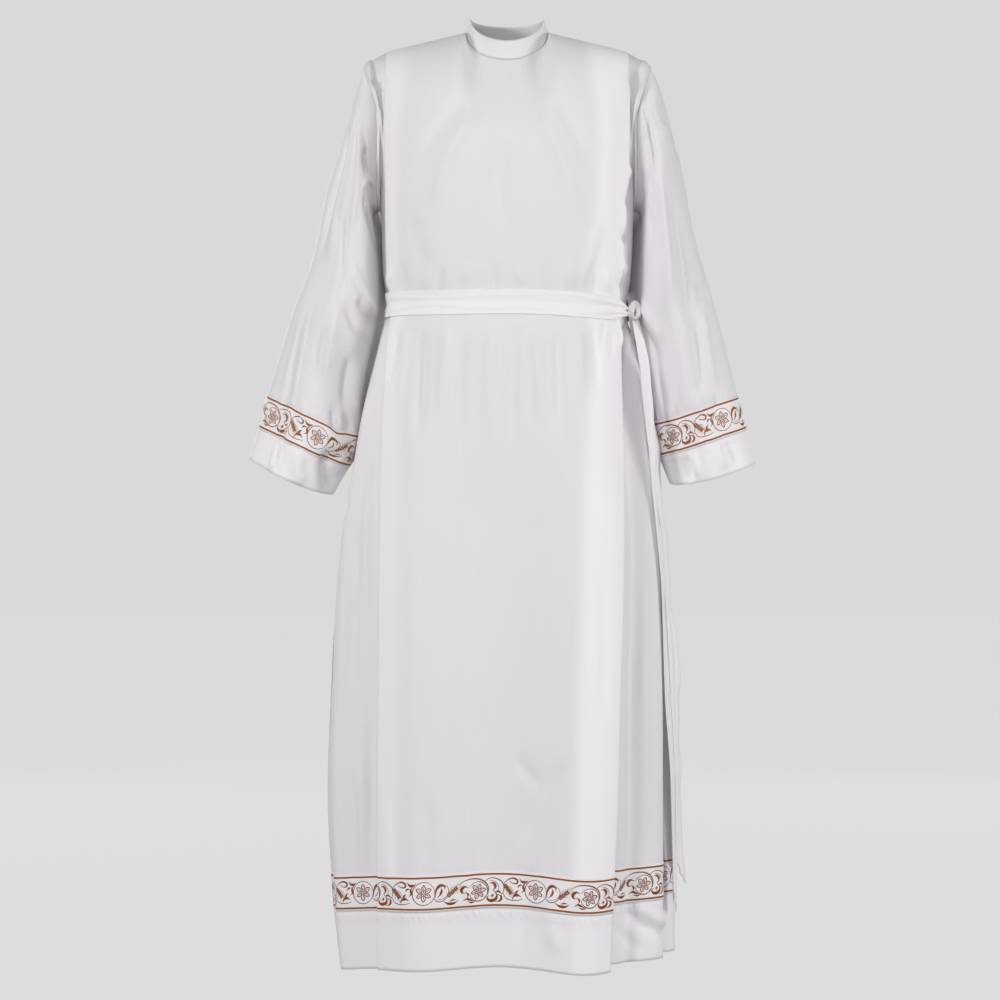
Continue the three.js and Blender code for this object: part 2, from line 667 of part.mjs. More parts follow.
// The direction of the wall's thickness at a seam, where it is shared with the piece that is sewn on.
function seamDirection(half, r, one, normal) {
  const back = half === "back";
  if (r === 0 && one.neck !== undefined) return neckOut(back ? 180 - one.neck : one.neck, one.side);
  if (r === 0 && one.armhole !== undefined) {
    return armholeOut(back ? 360 - one.armhole : one.armhole, one.side);
  }
  return r === 0 || one.place === 2 ? normal.clone().setY(0) : null;
}

// A panel's columns run so that its wall faces outwards: from the wearer's right to the left on the front.
function bodyPanel(half) {
  const columns = half === "front" ? COLUMNS : [...COLUMNS].reverse();
  const levels = columns.map((one) => levelsAt(half, one));
  const rows = levels[0].map((_, r) => columns.map((one, c) => panelPoint(half, one, levels[c][r])));
  return wall(rows, WALL, { fixed: (r, c, normal) => seamDirection(half, r, columns[c], normal) });
}

const front = bodyPanel("front");
const back = bodyPanel("back");

// ---- sleeves ---------------------------------------------------------------------------------------------------

const RING_ROWS = [0, 0.5, 1.2, 2, 3, 4, 5, 6, 7, 8, 9, 11, 12, 13];
const GALLOON_RINGS = [9, 11];
const BACK_ARMHOLE = ARMHOLE_DEGREES.slice(1, -1).map((degrees) => 360 - degrees).reverse();
const ROUND_ARMHOLE = [...ARMHOLE_DEGREES, ...BACK_ARMHOLE];
const SEAM_RINGS = 2.5; // the ring in which the sleeve has left the armhole's own curve
const FOLD_RINGS = 2; // the number of rings in which a fold grows
const UNDER_LEAN = 0.4; // how little a ring's folds lift it up or down

// A point of a sleeve, by the ring and the angle round it. Its outer point is at 0 degrees and its front at 90.
function ringPoint(rings, folds, ring, degrees, side) {
  const rows = rings.map((row, index) => ({ ...row, index }));
  const value = (name) => column(rows, "index", ring, name);
  const angle = radians(degrees);
  const [along, ahead] = [Math.cos(angle), Math.sin(angle)];
  const middle = [(value("outX") + value("inX")) / 2, (value("outZ") + value("inZ")) / 2];
  const half = [(value("outX") - value("inX")) / 2, (value("outZ") - value("inZ")) / 2];
  const depth = ahead > 0 ? value("front") : value("back");
  const straightSeam = (rings[0].outX * (1 + along) + rings[0].inX * (1 - along)) / 2;
  const seam = armholePoint(degrees).x - straightSeam;
  const point = new THREE.Vector3(
    middle[0] + half[0] * along + seam * (1 - smooth(ring, 0, SEAM_RINGS)),
    -depth * ahead,
    middle[1] + half[1] * along - value("sag") * Math.max(ahead, 0),
  );
  const out = new THREE.Vector3(half[0] * along, -depth * ahead, half[1] * along * UNDER_LEAN).normalize();
  for (const fold of folds) {
    const share = clamp((ring - fold.from) / (fold.to - fold.from), 0, 1);
    const across = ((degrees - mix(fold.angle, fold.angleEnd, share) + 540) % 360) - 180;
    const strength = smooth(ring, fold.from, fold.from + FOLD_RINGS);
    point.addScaledVector(out, fold.depth * strength * Math.exp(-((across / fold.width) ** 2)));
  }
  point.x -= value("tuck") * Math.exp(-(((degrees - TUCK.angle) / TUCK.width) ** 2));
  point.add(seamStep(armholePoint, armholeOut, degrees));
  point.x *= side;
  return point;
}

// A sleeve's columns start at the armhole's own points, so that the two edges match.
function sleeve(rings, folds, side) {
  const around = side < 0 ? ROUND_ARMHOLE : [...ROUND_ARMHOLE].reverse();
  const rows = RING_ROWS.map((ring) => around.map((degrees) => ringPoint(rings, folds, ring, degrees, side)));
  return wall(rows, WALL, { ring: true, fixed: (r, c) => (r ? null : armholeOut(around[c], side)) });
}

const sleeveLeft = sleeve(SLEEVE_LEFT, SLEEVE_LEFT_FOLDS, 1);
const sleeveRight = sleeve(SLEEVE_RIGHT, SLEEVE_RIGHT_FOLDS, -1);
const CUFF_ROWS = GALLOON_RINGS.map((ring) => RING_ROWS.indexOf(ring));

// ---- collar ----------------------------------------------------------------------------------------------------

function collar() {
  const left = COLUMNS.filter((one) => one.neck !== undefined && one.side > 0).map((one) => one.neck);
  const around = [...left, ...left.slice(0, -1).reverse().map((degrees) => 180 - degrees)];
  const places = [...around, ...around.slice(1, -1).reverse().map((degrees) => 360 - degrees)];
  const rows = [1, 0.5, 0].map((height) => places.map((degrees) => {
    const low = neckPoint(degrees).add(seamStep(neckPoint, neckOut, degrees));
    return low.lerp(neckPoint(degrees, COLLAR_TOP, COLLAR_LEAN), height);
  }));
  return wall(rows, WALL, { ring: true, fixed: (r, c) => (r === 2 ? neckOut(places[c], 1) : null) });
}

// ---- sash ------------------------------------------------------------------------------------------------------

// The sash round the waist, an open ring that starts and ends at the knot, where it is drawn together. It lies
// on the columns of the front and the back, clear of the pleats, whose edges it holds down.
function waistSash() {
  const shown = COLUMNS.filter((one) => one.back === undefined || one.outer === 0);
  const onFront = shown.map((one) => ({ half: "front", one }));
  const onBack = shown.map((one) => ({ half: "back", one })).reverse().slice(1, -1);
  const start = shown.findIndex((one) => one.side > 0 && one.place > SASH.knotPlace);
  const ring = [...onFront.slice(start), ...onBack, ...onFront.slice(0, start)];
  const out = WALL / 2 + SASH.clear + SASH_WALL / 2;
  const middles = ring.map(({ half, one }) => {
    const place = columnAt(half, one, 2).place;
    return { half, place, down: sashDown(half, place) };
  });
  const pointAt = ({ half, place, down }, offset, lift) => {
    const top = chestDown(place);
    const level = 1 + (down + offset - top) / (hemDown(half, place) - top);
    return bodyForm(half, place, level).addScaledVector(bodyOut(half, place, level), lift);
  };
  const line = measured(middles.map((middle) => pointAt(middle, 0, out)));
  const rows = [-0.5, 0.5].map((share) => middles.map((middle, i) => {
    const fromKnot = Math.min(line.lengths[i], line.total - line.lengths[i]);
    const open = smooth(fromKnot, 0, SASH.pinchReach);
    const height = SASH.height * mix(SASH.pinch, 1, open);
    return pointAt(middle, share * height, out + SASH.standOff * (1 - open));
  }));
  return wall(rows, SASH_WALL);
}

// The knot: a turn of the sash, standing on edge, round the place where its ends cross.
function knot() {
  const [around, steps] = [6, 16];
  const rows = Array.from({ length: steps }, (_, r) => {
    const angle = (r / steps) * 2 * Math.PI;
    const thick = KNOT.thick * (1 + KNOT.topThicker * Math.sin(angle));
    return Array.from({ length: around }, (_, c) => {
      const roll = (c / around) * 2 * Math.PI;
      const x = (KNOT.acrossX + thick * Math.cos(roll)) * Math.cos(angle);
      const z = (KNOT.acrossZ + thick * Math.cos(roll)) * Math.sin(angle);
      return new THREE.Vector3(x, KNOT.flat * thick * Math.sin(roll), z);
    });
  });
  const points = rows.flat();
  const triangles = [];
  for (let r = 0; r < steps; r++) {
    for (let c = 0; c < around; c++) {
      const next = (c + 1) % around;
      const [here, below] = [r * around, ((r + 1) % steps) * around];
      triangles.push(here + c, below + next, below + c, here + c, here + next, below + next);
    }
  }
  const geometry = new THREE.BufferGeometry().setFromPoints(points);
  geometry.setIndex(triangles);
  geometry.rotateZ(radians(KNOT.turn));
  geometry.translate(KNOT.x, KNOT.y, KNOT.z);
  return geometry;
}

// A free end of the sash: a strip along its middle line, cut on the slant.
function sashEnd(route, slant) {
  const last = route.length - 1;
  const rows = route.map((row, r) => [-0.5, 0, 0.5].map((offset) => {
    const angle = radians(row.turn);
    const across = new THREE.Vector3(Math.cos(angle), Math.sin(angle), 0).multiplyScalar(offset * row.width);
    const lower = r === last ? slant * (offset + 0.5) : 0;
    return new THREE.Vector3(row.x, row.y, row.z - lower).add(across);
  }));
  return wall(rows, SASH_WALL);
}

// ---- the alb ---------------------------------------------------------------------------------------------------

const cuffBand = (base) => bandOn(base, CUFF_ROWS, BAND_WALL, { ring: true });
const alb = new THREE.Group();
alb.add(
  mesh("front", front.geometry, CLOTH_WHITE),
  mesh("back", back.geometry, CLOTH_WHITE),
  mesh("sleeve_left", sleeveLeft.geometry, CLOTH_WHITE),
  mesh("sleeve_right", sleeveRight.geometry, CLOTH_WHITE),
  mesh("collar", collar().geometry, CLOTH_WHITE),
  mesh("hem_band_front", bandOn(front, GALLOON_ROWS, BAND_WALL).geometry, GALLOON_WHITE),
  mesh("hem_band_back", bandOn(back, GALLOON_ROWS, BAND_WALL).geometry, GALLOON_WHITE),
  mesh("cuff_band_left", cuffBand(sleeveLeft).geometry, GALLOON_WHITE),
  mesh("cuff_band_right", cuffBand(sleeveRight).geometry, GALLOON_WHITE),
  mesh("sash", waistSash().geometry, CLOTH_WHITE),
  mesh("sash_knot", knot(), CLOTH_WHITE),
  mesh("sash_end_front", sashEnd(SASH_END_FRONT, SASH_END_SLANT).geometry, CLOTH_WHITE),
  mesh("sash_end_back", sashEnd(SASH_END_BACK, SASH_END_SLANT).geometry, CLOTH_WHITE),
);

export default alb;
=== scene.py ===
import math

import bmesh
import bpy
import numpy as np
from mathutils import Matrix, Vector


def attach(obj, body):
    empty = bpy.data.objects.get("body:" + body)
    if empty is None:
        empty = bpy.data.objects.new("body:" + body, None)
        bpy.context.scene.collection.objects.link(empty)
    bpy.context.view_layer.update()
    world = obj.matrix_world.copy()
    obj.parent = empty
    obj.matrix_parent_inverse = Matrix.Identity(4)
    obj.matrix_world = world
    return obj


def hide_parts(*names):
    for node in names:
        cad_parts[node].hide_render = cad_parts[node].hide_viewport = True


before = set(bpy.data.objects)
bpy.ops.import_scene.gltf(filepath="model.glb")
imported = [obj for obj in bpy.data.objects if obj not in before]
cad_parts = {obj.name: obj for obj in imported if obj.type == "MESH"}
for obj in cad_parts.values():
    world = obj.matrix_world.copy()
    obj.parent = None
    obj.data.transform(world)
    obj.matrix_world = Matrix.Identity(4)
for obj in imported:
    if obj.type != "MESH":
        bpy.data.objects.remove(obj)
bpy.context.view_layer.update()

# ---- camera ----------------------------------------------------------------------------------------
# It looks level at the middle of the garment from about four metres in front, through a long lens.

LENS = 93.5
CAMERA_PLACE = (-0.0112, -4.15, -0.749)


def put_in_scene(name, data):
    """A new object for a camera, a light or a mesh."""
    made = bpy.data.objects.new(name, data)
    bpy.context.scene.collection.objects.link(made)
    return made


camera = put_in_scene("camera", bpy.data.cameras.new("camera"))
camera.data.lens = LENS
camera.location = CAMERA_PLACE
camera.rotation_euler = (math.pi / 2, 0, 0)
bpy.context.scene.camera = camera
bpy.context.scene.view_settings.view_transform = "Standard"

# ---- studio ----------------------------------------------------------------------------------------
# A pale grey floor that runs into an even background, and soft lights on the right, on the left, in front,
# above and behind. Floor and background keep their own tone, and throw less light than they show.

BACKGROUND = (0.693, 0.693, 0.693)
AROUND = 0.45  # how much of its tone the surroundings throw on the garment
FLOOR_COLOUR = (0.04, 0.04, 0.04)
FLOOR_Z = -1.6
FLOOR_ACROSS = 30
LIGHTS_AIM_AT = (0, 0, -0.75)
LIGHTS = [  # name, place, how wide, watts
    ("light on the right", (-3.0, -2.8, -0.1), 1.0, 62),
    ("light on the left", (3.3, -1.8, -0.6), 1.0, 50),
    ("light in front", (-0.1, -4.3, -0.2), 1.4, 16),
    ("light from above", (0.0, -3.0, 2.2), 1.4, 29),
    ("light behind on the right", (-1.9, 3.6, 0.1), 1.4, 50),
    ("light behind on the left", (1.5, 3.8, -0.3), 1.4, 30),
]


def feed(tree, node, inputs):
    """Give a node its inputs: values, colours, or outputs of other nodes."""
    for name, value in inputs.items():
        socket = node.inputs[name]
        if isinstance(value, bpy.types.NodeSocket):
            tree.links.new(value, socket)
        else:
            socket.default_value = (*value, 1) if socket.type == "RGBA" else value


def add_node(tree, kind, inputs, **settings):
    node = tree.nodes.new("ShaderNode" + kind)
    for name, value in settings.items():
        setattr(node, name, value)
    feed(tree, node, inputs)
    return node


def new_look(name, finish):
    """A new material, its node tree and its shader, which gets the finish that is the same all over."""
    look = bpy.data.materials.new(name)
    look.use_nodes = True
    shader = look.node_tree.nodes["Principled BSDF"]
    feed(look.node_tree, shader, finish)
    return look, look.node_tree, shader


def seen_and_thrown(tree):
    """A strength that is 1 to the eye and AROUND as light on the garment."""
    seen = add_node(tree, "LightPath", {}).outputs["Is Camera Ray"]
    return add_node(tree, "MapRange", {"Value": seen, "To Min": AROUND, "To Max": 1.0}).outputs["Result"]


world = bpy.data.worlds.new("studio")
world.use_nodes = True
around = {"Color": BACKGROUND, "Strength": seen_and_thrown(world.node_tree)}
feed(world.node_tree, world.node_tree.nodes["Background"], around)
bpy.context.scene.world = world

floor_look, tree, shader = new_look("floor", {
    "Base Color": FLOOR_COLOUR, "Roughness": 1.0, "Specular IOR Level": 0.0, "Emission Color": BACKGROUND,
})
feed(tree, shader, {"Emission Strength": seen_and_thrown(tree)})

floor_mesh = bpy.data.meshes.new("floor")
bm = bmesh.new()
bmesh.ops.create_grid(bm, x_segments=1, y_segments=1, size=FLOOR_ACROSS / 2)
bmesh.ops.translate(bm, vec=(0, 0, FLOOR_Z), verts=bm.verts)
bm.to_mesh(floor_mesh)
bm.free()
floor_mesh.materials.append(floor_look)
floor = put_in_scene("floor", floor_mesh)

for name, place, across, watts in LIGHTS:
    light = put_in_scene(name, bpy.data.lights.new(name, "AREA"))
    light.data.shape = "DISK"
    light.data.size = across
    light.data.energy = watts
    light.location = place
    light.rotation_euler = (Vector(LIGHTS_AIM_AT) - Vector(place)).to_track_quat("-Z", "Y").to_euler()

# ---- front and back --------------------------------------------------------------------------------
# White cotton-and-polyester cloth, cut in a front and a back, each with two knife pleats from the shoulder
# to the hem. The sash draws it in at the waist and the skirt spreads below. Its sizes are in millimetres.

MM = 0.001
CLOTH = 0.9  # the cloth's thickness
SEAM_GAP = 0.3
LENGTH = 1478
GALLOON_WIDTH = 58
GALLOON_ABOVE_HEM = 91
PLEAT_BACK = 30  # how far behind its edge a pleat is folded
PLEAT_TURN = 1.4  # radius of the turn at the edge
INNER_TURN = (1.4, 3.2)  # radius of the hidden turn, at the top and at the hem
PLEAT_END = 2  # how far behind the edge the side cloth comes out
SETTLE = (22, 55)  # how far beyond the edge the side cloth comes back up, at the top and at the hem
CHEST_DOWN = 210
UNDERARM_DOWN = 300
FACING = {"front": -1, "back": 1}


def table(names, rows):
    return {name: np.array(values) for name, values in zip(names.split(), zip(*rows))}


def mix(a, b, share):
    return a + (b - a) * share


def smooth(value, low, high):
    share = np.clip((value - low) / (high - low), 0, 1)
    return share * share * (3 - 2 * share)


def unit(vectors):
    return vectors / np.maximum(np.linalg.norm(vectors, axis=-1, keepdims=True), 1e-9)


def curve(start, leave, end, arrive, t):
    """A smooth curve from a start to an end, by its slopes there, at t from 0 to 1."""
    rise = end - start
    return start + t * leave + t * t * (3 * rise - 2 * leave - arrive) + t ** 3 * (leave + arrive - 2 * rise)


def column(rows, key, at, name):
    """A column of a table between its rows, on a smooth curve through them."""
    x, y = rows[key].astype(float), rows[name].astype(float)
    slope = np.gradient(y, x, edge_order=1)
    slope[1:-1] = (y[2:] - y[:-2]) / (x[2:] - x[:-2])
    place = np.clip(at, x[0], x[-1])
    i = np.clip(np.searchsorted(x[1:], place), 0, len(x) - 2)
    step = x[i + 1] - x[i]
    return curve(y[i], slope[i] * step, y[i + 1], slope[i + 1] * step, (place - x[i]) / step)


def running_length(points, axis=0):
    """The length along rows of points, from 0 at the first."""
    steps = np.linalg.norm(np.diff(points, axis=axis), axis=-1)
    start = np.zeros_like(steps.take([0], axis=axis))
    return np.concatenate([start, np.cumsum(steps, axis=axis)], axis=axis)


def in_grid(grid, row, place):
    """A grid's value between its points, at a fractional row and place in the row."""
    j, i = row.astype(int), place.astype(int)
    down, across = (row - j)[..., None], (place - i)[..., None]
    above = mix(grid[j, i], grid[j, i + 1], across)
    return mix(above, mix(grid[j + 1, i], grid[j + 1, i + 1], across), down)


# The level sections: reach to the wearer's right and left, to the front and the back, how square the corners
# are, and where the pleats' edges lie.
SECTIONS = table("down right left front back square pleatRight pleatLeft backPleat", [
    (0, 206, 206, 118, 106, 3.0, 192, 193, 150),
    (130, 204, 204, 130, 118, 3.0, 192, 194, 150),
    (290, 200, 201, 131, 118, 2.9, 192, 188, 146),
    (390, 197, 197, 124, 112, 2.8, 190, 181, 142),
    (445, 191, 190, 117, 104, 2.6, 184, 178, 140),
    (500, 203, 198, 125, 113, 2.6, 189, 181, 142),
    (640, 226, 214, 139, 138, 2.5, 194, 180, 146),
    (720, 242, 229, 144, 150, 2.4, 196, 178, 148),
    (790, 258, 243, 148, 158, 2.35, 197, 177, 150),
    (910, 273, 251, 153, 168, 2.3, 198, 175, 153),
    (1060, 281, 258, 158, 178, 2.25, 199, 170, 157),
    (1230, 286, 262, 163, 187, 2.2, 200, 166, 162),
    (1400, 276, 267, 166, 192, 2.2, 200, 159, 166),
    (1500, 265, 267, 167, 193, 2.2, 200, 156, 168),
])

# The largest folds: the heights where each starts and is full, its place at the start and at the hem, how
# wide it is, and how high, outwards above 0.
FOLDS = {
    "front": [
        (480, 800, -0.12, -0.1, 95, -20),
        (470, 760, -0.72, -0.66, 60, 9),
        (470, 760, 0.7, 0.72, 60, 13),
        (455, 560, 1.22, 1.2, 15, -12),
        (500, 640, 1.55, 1.48, 18, 8),
        (620, 800, 1.8, 1.7, 18, -20),
        (480, 640, -1.62, -1.5, 22, 11),
        (700, 900, -1.82, -1.78, 20, -10),
    ],
    "back": [
        (470, 700, 0.08, 0.05, 70, -16),
        (480, 760, 0.62, 0.6, 48, 10),
        (480, 740, -0.6, -0.62, 50, 12),
        (470, 620, 1.38, 1.42, 30, -15),
        (520, 720, 1.74, 1.72, 26, 10),
        (470, 640, -1.36, -1.4, 30, -13),
        (540, 740, -1.72, -1.72, 26, 9),
    ],
}

HEM_RISE = {
    "front": table("place rise", [
        (-2, -14), (-1, 0), (-0.6, 3), (-0.1, 9), (0.3, 6), (0.7, -1), (1, 1), (1.2, 11), (2, 14),
    ]),
    "back": table("place rise", [(-2, -14), (-1, -8), (0, 2), (1, 0), (2, 14)]),
}

NECK = {"width": 66, "front": 74, "back": 62, "sideZ": -3, "frontZ": -57, "backZ": -12}
SHOULDER = table("x z", [(66, -3), (136, -20), (190, -34), (214, -47)])
ARMHOLE = {"middle": -167, "half": 120, "front": 56, "back": 52, "clear": 3, "bend": 4}
ARMHOLE_REACH = table("angle x", [
    (0, 214), (28, 226), (44, 222), (60, 212), (78, 205), (110, 206), (180, 206),
])

QUARTER = np.radians(np.linspace(0, 90, 145))
PLACE_STEPS = 160  # steps of a section from the middle to the pleat, and from there to the side seam
DOWNS = np.arange(195.0, 1506.0, 2.5)


def pleat_name(half, side):
    return "backPleat" if half == "back" else "pleatRight" if side < 0 else "pleatLeft"


def section_table(half, side):
    """A quarter of every level section: points by place, and lengths to the pleat and to the side seam."""
    across, along = np.sin(QUARTER), np.maximum(np.cos(QUARTER), 0)
    width = column(SECTIONS, "down", DOWNS, "right" if side < 0 else "left")[:, None]
    depth = column(SECTIONS, "down", DOWNS, half)[:, None]
    square = column(SECTIONS, "down", DOWNS, "square")[:, None]
    reach = ((across / width) ** square + (along / depth) ** square) ** (-1 / square)
    x, y = reach * across, reach * along
    lengths = running_length(np.stack([x, y], axis=-1), axis=1)
    pleat_x = column(SECTIONS, "down", DOWNS, pleat_name(half, side))
    pleat = np.array([np.interp(edge, row[:-1], line[:-1]) for edge, row, line in zip(pleat_x, x, lengths)])
    total = lengths[:, -1]
    share = np.linspace(0, 1, PLACE_STEPS + 1)
    wanted = np.concatenate([pleat[:, None] * share, mix(pleat[:, None], total[:, None], share[1:])], axis=1)

    def at_places(values):
        return np.array([np.interp(w, line, row) for w, line, row in zip(wanted, lengths, values)])

    return {"points": np.stack([side * at_places(x), FACING[half] * at_places(y)], axis=-1),
            "pleat": pleat, "total": total}


SECTION = {(half, side): section_table(half, side) for half in FACING for side in (-1, 1)}


def section_point(half, place, down):
    """A point of a level section. Its place is 0 at the middle, 1 at the pleat's edge, 2 at the side seam."""
    place, down = np.broadcast_arrays(place, down)
    p = np.clip(np.abs(place) * PLACE_STEPS, 0, 2 * PLACE_STEPS - 1e-6)
    d = np.clip((down - DOWNS[0]) / (DOWNS[1] - DOWNS[0]), 0, len(DOWNS) - 1.001)
    right, left = (in_grid(SECTION[half, side]["points"], d, p) for side in (-1, 1))
    return np.concatenate([np.where(place[..., None] < 0, right, left), -down[..., None]], axis=-1)


def section_length(half, side, down, name):
    return np.interp(down, DOWNS, SECTION[half, side][name])


def length_at(place, pleat, total):
    """How far a place lies along the cloth from the middle, by the lengths to pleat and side seam."""
    distance = np.abs(place)
    return np.where(distance <= 1, distance * pleat, mix(pleat, total, distance - 1))


def neck_point(degrees, ring=NECK, scale=1.0):
    angle = np.radians(degrees)
    across, along = np.sin(angle), np.cos(angle)
    depth = np.where(along > 0, NECK["front"], NECK["back"])
    z = mix(ring["sideZ"], np.where(along > 0, ring["frontZ"], ring["backZ"]), np.abs(along))
    return np.stack([scale * NECK["width"] * across, -scale * depth * along, z], axis=-1)


def armhole_point(degrees):
    angle = np.radians(degrees)
    depth = np.where(np.sin(angle) > 0, ARMHOLE["front"], ARMHOLE["back"])
    x = column(ARMHOLE_REACH, "angle", np.where(np.asarray(degrees) > 180, 360 - degrees, degrees), "x")
    return np.stack([x, -depth * np.sin(angle), ARMHOLE["middle"] + ARMHOLE["half"] * np.cos(angle)], axis=-1)


def upper_edge(half, side):
    """A quarter of the body's upper edge: half the neck, the shoulder seam and half the armhole."""
    back = half == "back"
    round_neck = np.arange(0, 90, 3.0)
    neck = neck_point(180 - round_neck if back else round_neck)
    x = mix(SHOULDER["x"][0], SHOULDER["x"][-1], np.arange(0, 1, 1 / 32))
    shoulder = np.stack([x, 0 * x, column(SHOULDER, "x", x, "z")], axis=-1)
    round_arm = np.arange(0, 181, 2.0)
    arm = armhole_point(360 - round_arm if back else round_arm)
    points = np.concatenate([neck, shoulder, arm]) * [side, 1, 1]
    lengths = running_length(points)
    first, tip = len(neck) + 1, len(neck) + len(shoulder)
    pleat_x = SECTIONS[pleat_name(half, side)][0]
    return {
        "points": points,
        "lengths": lengths,
        "pleat": np.interp(pleat_x, np.abs(points[first:tip, 0]), lengths[first:tip]),
        "total": lengths[-1],
        "neck": lengths[len(neck)],
        "tip": lengths[tip],
        "neck_at": lambda degrees: np.interp(degrees, np.append(round_neck, 90), lengths[: len(neck) + 1]),
        "arm_at": lambda degrees: np.interp(degrees, round_arm, lengths[tip:]),
    }


EDGE = {(half, side): upper_edge(half, side) for half in FACING for side in (-1, 1)}


def chest_down(place):
    return mix(CHEST_DOWN, UNDERARM_DOWN, smooth(np.abs(place), 1, 2))


def hem_down(half, place):
    return LENGTH - column(HEM_RISE[half], "place", place, "rise")


def down_at(half, place, level):
    """How far down a level lies, which is 0 at the upper edge, 1 at the chest and 2 at the hem."""
    low = mix(chest_down(place), hem_down(half, place), level - 1)
    return np.where(level < 1, level * chest_down(place), low)


def level_of(half, place, down):
    """The level of a height below the chest."""
    top, hem = chest_down(place), hem_down(half, place)
    return 1 + (down - top) / (hem - top)


# The directions in which the cloth leaves the neck and the shoulder seam, how much fuller it leaves the seam,
# from what share of the neck, and how far beyond the seam's end.
LEAVE_NECK, LEAVE_SHOULDER = (0, 0.42, -0.9), (0, 1.0, -0.12)
SHOULDER_FULLNESS = 1.25
FULL_FROM = 0.2
FULL_BEYOND = 110
CHEST_SLOPE = 4  # the height over which the cloth's slope at the chest is taken
CLEAR_OF_SLEEVE = 0.14  # the level below which it stays clear of the armhole's seam
NEAR_PLACE, NEAR_LEVEL = 0.02, 0.01  # the steps over which the surface's direction is taken


def upper_form(half, side, place, level):
    """The body above the chest: a smooth line from each point of the upper edge to the chest's section."""
    edge = EDGE[half, side]
    length = length_at(place, edge["pleat"], edge["total"])
    start = np.stack([np.interp(length, edge["lengths"], edge["points"][:, k]) for k in range(3)], axis=-1)
    end = section_point(half, place, chest_down(place))
    below = section_point(half, place, chest_down(place) + CHEST_SLOPE)
    drop = np.linalg.norm(start - end, axis=-1)[..., None]
    past_neck = smooth(length, edge["neck"] * FULL_FROM, edge["neck"])
    past_tip = smooth(length, edge["tip"], edge["tip"] + FULL_BEYOND)
    at_shoulder = (past_neck * (1 - past_tip))[..., None]
    outwards = np.array([1, FACING[half], 1])
    leave = unit(mix(LEAVE_NECK * outwards, LEAVE_SHOULDER * outwards, at_shoulder))
    leave = leave * drop * mix(1, SHOULDER_FULLNESS, at_shoulder)
    point = curve(start, leave, end, unit(below - end) * drop, np.clip(level, 0, 1)[..., None])
    height = np.clip((point[..., 2] - ARMHOLE["middle"]) / ARMHOLE["half"], -1, 1)
    seam = column(ARMHOLE_REACH, "angle", np.degrees(np.arccos(height)), "x")
    free = seam - ARMHOLE["clear"] - ARMHOLE["bend"]
    x = np.abs(point[..., 0])
    beyond = x - free
    kept = free + ARMHOLE["bend"] * (1 - np.exp(-np.maximum(beyond, 0) / ARMHOLE["bend"]))
    point[..., 0] = side * np.where(beyond > 0, mix(x, kept, smooth(level, 0, CLEAR_OF_SLEEVE)), x)
    return point


def body_form(half, place, level):
    """The body without pleats and folds."""
    place, level = np.broadcast_arrays(np.clip(place, -2, 2), np.clip(level, 0, 2))
    low = section_point(half, place, down_at(half, place, np.maximum(level, 1)))
    right, left = (upper_form(half, side, place, level) for side in (-1, 1))
    return np.where(level[..., None] >= 1, low, np.where(place[..., None] < 0, right, left))


def body_out(half, place, level):
    """The direction out of the body's surface. Beside the armhole it is the chest's."""
    near = np.where(np.abs(place) > 1.9, np.maximum(level, 1), level)
    across = body_form(half, place + NEAR_PLACE, near) - body_form(half, place - NEAR_PLACE, near)
    down = body_form(half, place, near + NEAR_LEVEL) - body_form(half, place, near - NEAR_LEVEL)
    return unit(np.cross(down, across) if half == "front" else np.cross(across, down))


def cloth_across(half, place, down):
    """How far from the middle a place lies along the cloth, to the wearer's left above 0."""
    down = np.maximum(down, CHEST_DOWN)
    right, left = (
        side * length_at(place, *(section_length(half, side, down, name) for name in ("pleat", "total")))
        for side in (-1, 1)
    )
    return np.where(place < 0, right, left)


def fold_lift(half, place, level):
    """How far the largest folds lift the cloth."""
    down = down_at(half, place, level)
    lift = np.zeros(np.broadcast(place, level).shape)
    across = cloth_across(half, place, down)
    for start, full, at, at_hem, width, high in FOLDS[half]:
        middle = mix(at, at_hem, smooth(down, start, LENGTH))
        distance = (across - cloth_across(half, middle, down)) / width
        lift += high * smooth(down, start, full) * np.exp(-distance ** 2)
    return lift


# A panel's columns, from the middle to the side seam: the place on the sections, where each starts on the
# upper edge, and into how many the cloth before it is divided.
PANEL_COLUMNS = [
    (0.16, "neck", 30, 8), (0.32, "neck", 60, 8), (0.47, "neck", 90, 8), (0.62, "shoulder", 0.3, 7),
    (0.76, "shoulder", 0.54, 7), (0.88, "shoulder", 0.72, 6),
]
SIDE_COLUMNS = [
    (1.07, "shoulder", 0.93, 4), (1.15, "armhole", 0, 4), (1.25, "armhole", 20, 4),
    (1.36, "armhole", 40, 4), (1.48, "armhole", 60, 4), (1.61, "armhole", 82, 5),
    (1.75, "armhole", 110, 5), (1.88, "armhole", 144, 4), (2.0, "armhole", 180, 4),
]


